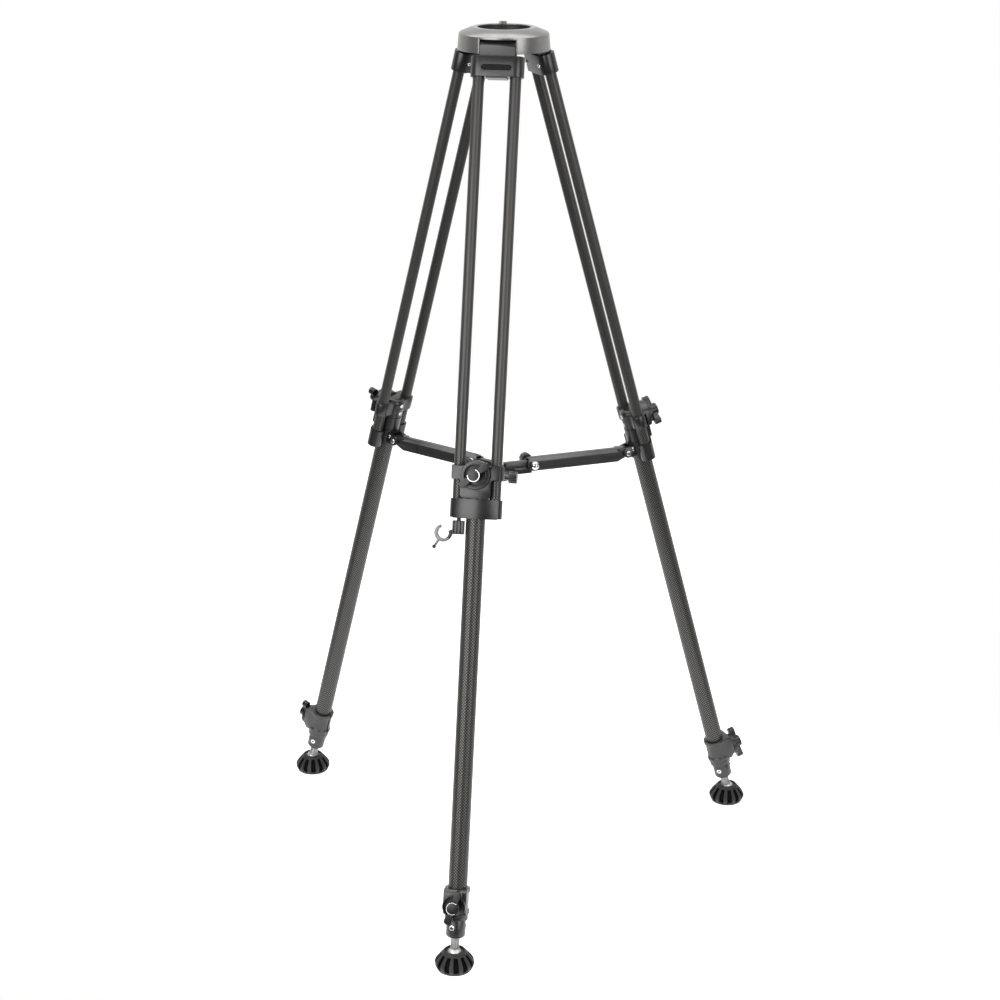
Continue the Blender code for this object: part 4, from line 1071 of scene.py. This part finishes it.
def arm_bevels():
    """Tools that slope the upper edges of an arm."""
    across = ARM_BEVEL
    down = ARM_BEVEL_DROP
    edge = ARM_WIDTH / 2
    at = standing(ARM_SHOULDER + ARM_REACH)
    tools = []
    for side in (-1, 1):
        start = (side * (edge - 2 * across), ARM_RISE + down)
        corner = (side * (edge + 3 * across), ARM_RISE + down)
        end = (side * (edge + across), ARM_RISE - 2 * down)
        tools.append(slab([start, corner, end], 2 * ARM_REACH, at))
    return tools


def arm_shape():
    """Spreader arm about its pin, open below at the hub's end."""
    half = ARM_WIDTH / 2
    end = arc((ARM_REACH, BOLT_LEVEL), ARM_END_RADIUS, -math.pi / 2, math.pi / 2, 20)
    tongue = arc((0.0, 0.0), ARM_TONGUE, math.pi / 2, 1.5 * math.pi, 16)
    outline = end + tongue + [(ARM_TONGUE / 2, -ARM_TONGUE), (ARM_SHOULDER, -ARM_FALL)]
    body = soft_edges(cut(slab(outline, ARM_WIDTH, SIDEWAYS), *arm_bevels()))
    under = -2 * ARM_FALL
    channel_ends = (ARM_REACH - ARM_CHANNEL_LENGTH, ARM_REACH + 2 * ARM_END_RADIUS)
    channel = beam(CHANNEL_HALF, channel_ends, (under, ARM_RISE - ARM_WEB))
    wide = 2 * half
    pivot = crossbar(PIN_RADIUS + GAP, wide)
    bolt = crossbar(BOLT_RADIUS + GAP, wide, ARM_REACH, BOLT_LEVEL)
    seam_low = ARM_SEAM - ARM_SEAM_WIDTH / 2
    seam_high = ARM_SEAM + ARM_SEAM_WIDTH / 2
    seam = beam(wide, (seam_low, seam_high), (under, 2 * ARM_RISE))
    core_ends = (seam_low - ARM_SEAM_WIDTH, seam_high + ARM_SEAM_WIDTH)
    core = beam(half - ARM_SEAM_DEPTH, core_ends, (2 * under, ARM_RISE - ARM_SEAM_DEPTH))
    marks = [cut(seam, core)]
    groove_end = ARM_REACH - ARM_GROOVE_STOP
    for side in (-1, 1):
        low, high = sorted((side * (half - ARM_SEAM_DEPTH), side * wide))
        groove_low = (low, ARM_GROOVE_START, BOLT_LEVEL - ARM_GROOVE_HEIGHT / 2)
        marks.append(block(groove_low, (high, groove_end, BOLT_LEVEL + ARM_GROOVE_HEIGHT / 2)))
    return cut(body, channel, pivot, bolt, *marks)


def thumb_shape():
    """Black neck and ribbed thumb knob of an arm bolt."""
    start = ARM_WIDTH / 2 + GAP + WASHER_LENGTH
    neck_end = start + NECK_LENGTH
    end = neck_end + THUMB_LENGTH
    outline = []
    for index in range(THUMB_RIBS * 4):
        turn = 2 * math.pi * index / (THUMB_RIBS * 4)
        reach = THUMB_RADIUS - (THUMB_RIB_DEPTH if index % 4 in (2, 3) else 0.0)
        outline.append((reach * math.cos(turn), reach * math.sin(turn)))
    at = Matrix.Translation(((neck_end + end) / 2, 0.0, 0.0)) @ SIDEWAYS
    knob = soft_edges(slab(outline, THUMB_LENGTH, at), THUMB_EDGE, 2, math.radians(70))
    neck = rod(NECK_RADIUS, (start, 0, 0), (neck_end + GAP, 0, 0), COARSE, NECK_RADIUS * 1.3)
    return join(knob, neck)


def bolt_shape():
    """Bright bolt with its washer and domed nut."""
    half = ARM_WIDTH / 2 + GAP
    washer_end = half + WASHER_LENGTH
    base_end = half + NUT_BASE_LENGTH
    shank = rod(BOLT_RADIUS, (-base_end, 0, 0), (washer_end, 0, 0), COARSE)
    washer = soft_edges(rod(WASHER_RADIUS, (half, 0, 0), (washer_end, 0, 0)))
    nut = rod(NUT_BASE_RADIUS, (-half, 0, 0), (-base_end - GAP, 0, 0))
    wide = 4 * NUT_BALL_RADIUS
    dome = ball(NUT_BALL_RADIUS, (-half - NUT_BALL_REACH, 0, 0), FINE)
    dome = cut(dome, block((-half - GAP, -wide, -wide), (wide, wide, wide)))
    return join(washer, shank, nut, dome)


def hub_shape():
    """Spreader hub about the bolts' level."""
    top = -BOLT_RADIUS - HUB_TOP
    low = top - HUB_THICKNESS
    half = CHANNEL_HALF - GAP
    disc = soft_edges(upright(HUB_RADIUS, low, top), 2 * EDGE)
    dome = rod(HUB_DOME_RADIUS, (0, 0, top - GAP), (0, 0, top + HUB_DOME_HEIGHT), FINE, HUB_DOME_RADIUS / 2)
    boss = soft_edges(upright(HUB_BOSS_RADIUS, low - HUB_BOSS_HEIGHT, low + GAP))

    def tongue():
        tip = BOLT_CIRCLE - HUB_TIP_INSET
        return soft_edges(beam(half, (-tip, -HUB_RADIUS / 2), (low + GAP, top - GAP)))

    def rib():
        tip = BOLT_CIRCLE - HUB_RIB_INSET
        levels = (low + 2 * GAP, top + HUB_RIB_HEIGHT)
        return soft_edges(beam(half - GAP, (-tip, -HUB_RADIUS / 4), levels))

    return join(disc, dome, boss, *around(tongue), *around(rib))


def clip_block_shape():
    """Ribbed block on its swivel stem."""
    x, y = CLIP_STEM
    width, depth, height = CLIP_BLOCK
    top = COLLAR_BOTTOM - CLIP_STEM_LENGTH
    low = top - height
    body = block((x - width / 2, y - depth / 2, low), (x + width / 2, y + depth / 2, top))
    stem = rod(CLIP_STEM_RADIUS, (x, y, top - GAP), (x, y, COLLAR_BOTTOM - GAP), COARSE)
    pitch = width / (2 * CLIP_RIBS + 1)
    grooves = []
    front = y - depth / 2 - CLIP_RIB_DEPTH
    floor = front + 2 * CLIP_RIB_DEPTH
    for index in range(CLIP_RIBS):
        start = x - width / 2 + (2 * index + 1) * pitch
        grooves.append(block((start, front, low - GAP), (start + pitch, floor, top + GAP)))
    return soft_edges(cut(join(body, stem), *grooves), CLIP_BLOCK_EDGE)


def clip_shape():
    """Open spring clip with a ball-ended tail."""
    x, y = CLIP_STEM
    outer = CLIP_INNER + CLIP_WALL
    centre_x = x - CLIP_BLOCK[0] / 2 - GAP - outer
    centre_z = COLLAR_BOTTOM - CLIP_STEM_LENGTH - CLIP_DROP
    inner = outer - CLIP_THICKNESS
    start = CLIP_OPEN_TO
    end = CLIP_OPEN_FROM + 2 * math.pi
    outline = arc((0.0, 0.0), outer, start, end, 40) + arc((0.0, 0.0), inner, end, start, 40)
    clip = soft_edges(slab(outline, CLIP_WIDTH, ACROSS), CLIP_EDGE)
    along = Vector((math.cos(CLIP_TAIL_ANGLE), 0.0, math.sin(CLIP_TAIL_ANGLE)))
    reach = outer + CLIP_TAIL_LENGTH
    tail = rod(CLIP_TAIL_RADIUS, along * (outer - CLIP_WALL / 2), along * reach, COARSE)
    clip = join(clip, tail, ball(CLIP_TAIL_BALL, along * reach))

    def dark(face):
        on_tail = face.center.length > reach - CLIP_TAIL_LENGTH / 2
        turn = math.atan2(face.center.z, face.center.x)
        return on_tail or CLIP_DARK_FROM < turn < CLIP_DARK_TO

    clip = paint(clip, dark)
    clip.data.transform(Matrix.Translation((centre_x, y, centre_z)))
    return clip


def screw_shape(radius):
    """Small domed screw head with a hexagon socket painted dark as painted shade, looking along +Z."""
    head = rod(radius, (0, 0, -SCREW_HEIGHT), (0, 0, SCREW_HEIGHT), COARSE)
    head = soft_edges(head, SCREW_HEIGHT * 0.5, 3)
    socket = radius * 0.44
    head = cut(head, rod(socket, (0, 0, SCREW_HEIGHT * 0.2), (0, 0, SCREW_HEIGHT * 2), 6))
    lowered = SCREW_HEIGHT * 0.99
    # Socket walls and floor take the second finish: painted shade
    return paint(head, lambda face: 0 < face.center.z < lowered and face.center.xy.length < socket)


def on_spoke(turn, reach, height):
    """Place at a reach from the tripod's axis and a height over the floor, turned as a leg is."""
    outward = Vector((math.sin(turn), -math.cos(turn), 0.0))
    shift = Matrix.Translation(AXIS + outward * reach + Vector((0.0, 0.0, height)))
    return shift @ Matrix.Rotation(turn, 4, "Z")


def dress_legs():
    """Dress the three legs."""
    twin_low = COLLAR_BOTTOM + COLLAR_FLOOR
    twin_high = YOKE_BOTTOM + SOCKET_DEPTH
    inner_low = PLUG_TOP + GAP
    inner_high = PLUG_TOP + INNER_LENGTH
    shapes = {
        "hinge_pin": (crossbar(HINGE_PIN_RADIUS, HINGE_PIN_LENGTH / 2), "steel", "crown"),
        "yoke": (yoke_shape(), "black_cast", "leg"),
        "upper_tube_left": (pipe(TWIN_RADIUS, TWIN_WALL, twin_low, twin_high, -TWIN_X), "carbon", "leg"),
        "upper_tube_right": (pipe(TWIN_RADIUS, TWIN_WALL, twin_low, twin_high, TWIN_X), "carbon", "leg"),
        "collar": (collar_shape(), "black_cast", "leg"),
        "arm_pin": (pin_shape(), "steel", "leg"),
        "slider": (slider_shape(), "black_cast", "mid"),
        "mid_tube": (pipe(MID_RADIUS, MID_WALL, LOW_BOTTOM + LOW_STEP, MID_TUBE_TOP), "carbon", "mid"),
        "low_clamp": (low_clamp_shape(), "black_cast", "mid"),
        "inner_tube": (pipe(INNER_RADIUS, INNER_WALL, inner_low, inner_high), "carbon", "foot"),
        "foot_plug": (plug_shape(), "black_cast", "foot"),
        "foot_stud": (stud_shape(), "zinc", "foot"),
    }
    mid_knob = knob_shapes(MID_WING_SPAN, MID_WING_TURN, BOSS_FRONT, MID_MARK)
    low_knob = knob_shapes(LOW_WING_SPAN, LOW_WING_TURN, LOW_BOX_FRONT, LOW_MARK)
    knobs = {"mid_knob": (*mid_knob, BOSS_LEVEL), "low_knob": (*low_knob, LOW_KNOB_LEVEL)}
    feet = {
        # The cup's top face takes black_knob as painted shade
        "foot_cup": (cup_shape(), "ball_steel", "cup", "black_knob"),
        # The pad's groove floors take their second finish as painted shade
        "foot_pad": (pad_shape(), "rubber", "pad", "groove_black"),
    }
    arm = arm_shape()
    thumb = thumb_shape()
    bolt = bolt_shape()
    screw = screw_shape(SCREW_RADIUS)
    plug_screw = screw_shape(PLUG_SCREW_RADIUS)
    label, label_rim = label_shapes()
    yoke_x, yoke_z = YOKE_SCREW
    fork_y, fork_rise = FORK_SCREW
    inner_side = (0, 1, 0)
    screws = []
    for side, hand in ((-1, "left"), (1, "right")):
        screws.append((f"yoke_screw_{hand}", "leg", (side * yoke_x, YOKE_DEPTH / 2, yoke_z), inner_side))
        fork_place = (side * FORK_HALF, fork_y, ARM_PIVOT_LEVEL + fork_rise)
        screws.append((f"fork_screw_{hand}", "leg", fork_place, (side, 0, 0)))
    for number, level in enumerate(SLIDER_SCREWS):
        slider_place = (0.0, SLIDER_RADIUS - SLIDER_SCREW_SINK, level)
        screws.append((f"slider_screw_{number}", "mid", slider_place, inner_side))
    for leg, turn in LEG_TURNS.items():
        place = on_spoke(turn, PIVOT_RADIUS, PIVOT_HEIGHT) @ Matrix.Rotation(-SPLAY, 4, "X")
        for name, (shape, finish, body) in shapes.items():
            body = body if body == "crown" else f"{leg}_{body}"
            # The stud's ball takes a brighter second finish as a painted highlight
            second = "ball_steel" if name == "foot_stud" else None
            dress(f"{leg}_{name}_look", shape, finish, place, body, f"{leg}_{name}", second=second)
        for name, (knob, mark, level) in knobs.items():
            at = place @ Matrix.Translation((0.0, 0.0, level))
            node = f"{leg}_{name}"
            dress(f"{node}_look", knob, "black_knob", at, node, node)
            dress(f"{node}_mark", mark, "wing_mark", at, node)
        dress(f"{leg}_label", label, "label_black", place, f"{leg}_leg")
        dress(f"{leg}_label_rim", label_rim, "label_grey", place, f"{leg}_leg")
        foot = on_spoke(turn, FOOT_CIRCLE, BALL_HEIGHT)
        for name, (shape, finish, body, second) in feet.items():
            node = f"{leg}_{name}"
            dress(f"{node}_look", shape, finish, foot, f"{leg}_{body}", node, second=second)
        arm_at = on_spoke(turn, ARM_PIVOT_RADIUS, ARM_PIVOT_HEIGHT)
        dress(f"{leg}_arm_look", arm, "arm_grey", arm_at, f"{leg}_arm", f"{leg}_arm")
        bolt_at = on_spoke(turn, BOLT_CIRCLE, BOLT_HEIGHT)
        dress(f"{leg}_arm_bolt_look", bolt, "steel", bolt_at, f"{leg}_bolt", f"{leg}_arm_bolt")
        dress(f"{leg}_thumb_look", thumb, "arm_grey", bolt_at, f"{leg}_bolt")
        for name, body, point, direction in screws:
            at = place @ facing(point, direction)
            # Screw sockets take black_knob as painted shade
            dress(f"{leg}_{name}", screw, "steel", at, f"{leg}_{body}", second="black_knob")
        for number in range(3):
            swing = Matrix.Rotation(PLUG_SCREW_TURN + number * 2 * math.pi / 3, 4, "Z")
            at = place @ swing @ facing((0.0, -PLUG_RADIUS, PLUG_TOP - PLUG_SCREW_DROP), (0, -1, 0))
            # Screw sockets take black_knob as painted shade
            dress(f"{leg}_plug_screw_{number}", plug_screw, "steel", at, f"{leg}_foot", second="black_knob")
        if leg == "front":
            dress("clip_block_look", clip_block_shape(), "black_cast", place, "clip", "clip_block")
            clip = clip_shape()
            dress("leg_clip_look", clip, "clip_grey", place, "clip", "leg_clip", second="black_knob")


def dress_middle():
    """Dress the crown and the hub."""
    crown_at = on_spoke(0.0, 0.0, RIM_HEIGHT)
    dress("crown_look", crown_shape(), "cast_silver", crown_at, "crown", "crown", second="rim_silver")
    dress("bowl_seat_look", seat_shape(), "bowl_black", crown_at, "crown", "bowl_seat")
    hub_at = on_spoke(0.0, 0.0, BOLT_HEIGHT)
    dress("hub_look", hub_shape(), "black_cast", hub_at, "hub", "hub")


def clear_bench():
    """Remove the working shapes."""
    for shape in list(bpy.context.scene.collection.objects):
        if shape.name.split(".")[0] == "shape":
            drop(shape)


def make_floor():
    """White floor that takes a soft shadow."""
    bm = bmesh.new()
    low = Vector(FLOOR_LOW)
    high = Vector(FLOOR_HIGH)
    matrix = Matrix.Translation((low + high) / 2) @ Matrix.Diagonal((*(high - low).xy, 1.0, 1.0))
    bmesh.ops.create_grid(bm, x_segments=2, y_segments=2, size=0.5, matrix=matrix)
    floor = from_bmesh(bm)
    floor.name = "floor"
    paper = Shader("floor_white", 0.9, specular=0.0)
    paper.set("Base Color", (*grey(FLOOR_LEVEL), 1.0))
    paper.set("Emission Color", (*grey(1.0), 1.0))
    paper.set("Emission Strength", paper.math("MULTIPLY", paper.seen_directly(), FLOOR_LIFT))
    floor.data.materials.append(paper.material)


def make_surround():
    """White surround behind, darker in front, that lights the object less strongly than it looks."""
    world = bpy.data.worlds.new("studio")
    world.use_nodes = True
    bpy.context.scene.world = world
    graph = Graph(world.node_tree)
    way = graph.add("ShaderNodeTexCoord").outputs["Generated"]
    depth = graph.add("ShaderNodeSeparateXYZ", Vector=way).outputs["Y"]
    behind = graph.add("ShaderNodeMapRange", Value=depth, From_Min=FRONT_END, From_Max=BEHIND_START)
    behind.interpolation_type = "SMOOTHSTEP"
    behind.inputs["To Min"].default_value = FRONT_LEVEL
    level = graph.add("ShaderNodeMapRange", Value=graph.seen_directly(), To_Min=SURROUND_LIGHT)
    graph.feed(level.inputs["To Max"], behind.outputs["Result"])
    light = world.node_tree.nodes["Background"]
    graph.feed(light.inputs["Color"], (*grey(1.0), 1.0))
    graph.feed(light.inputs["Strength"], level.outputs["Result"])


def lamp(name, location, target, width, height, power):
    """Soft lamp aimed at a point."""
    data = bpy.data.lights.new(name, "AREA")
    data.shape = "RECTANGLE"
    data.size = width
    data.size_y = height
    data.energy = power
    light = put(data, name)
    light.location = location
    aim = Vector(target) - Vector(location)
    light.rotation_euler = aim.to_track_quat("-Z", "Y").to_euler()


def make_lights():
    """Soft light from above and a tall soft lamp on each side of the camera."""
    lamp("top_light", (-0.4, 0.0, 2.9), (-0.4, 0.001, 0.0), width=4.2, height=2.0, power=68.0)
    lamp("left_light", (-1.15, -2.42, 1.35), LAMP_AIM, width=2.2, height=2.2, power=60.0)
    lamp("right_light", (2.05, -1.80, 1.35), LAMP_AIM, width=1.5, height=2.2, power=34.0)


def make_camera():
    """Camera where the photograph was taken from."""
    data = bpy.data.cameras.new("view")
    data.sensor_width = 36.0
    data.lens = VIEW_LENS
    data.shift_x = VIEW_SHIFT
    camera = put(data, "view")
    side = Vector((*VIEW_SIDE, 0.0)).normalized()
    place = AXIS + side * VIEW_DISTANCE
    place.z = VIEW_HEIGHT
    heading = Matrix.Rotation(math.atan2(side.x, -side.y), 4, "Z")
    pitch = Matrix.Rotation(math.pi / 2 - VIEW_PITCH, 4, "X")
    roll = Matrix.Rotation(VIEW_ROLL, 4, "Z")
    camera.matrix_world = Matrix.Translation(place) @ heading @ pitch @ roll
    bpy.context.scene.camera = camera


make_camera()
dress_legs()
dress_middle()
clear_bench()
make_floor()
make_surround()
make_lights()
bpy.context.scene.view_settings.view_transform = "Standard"
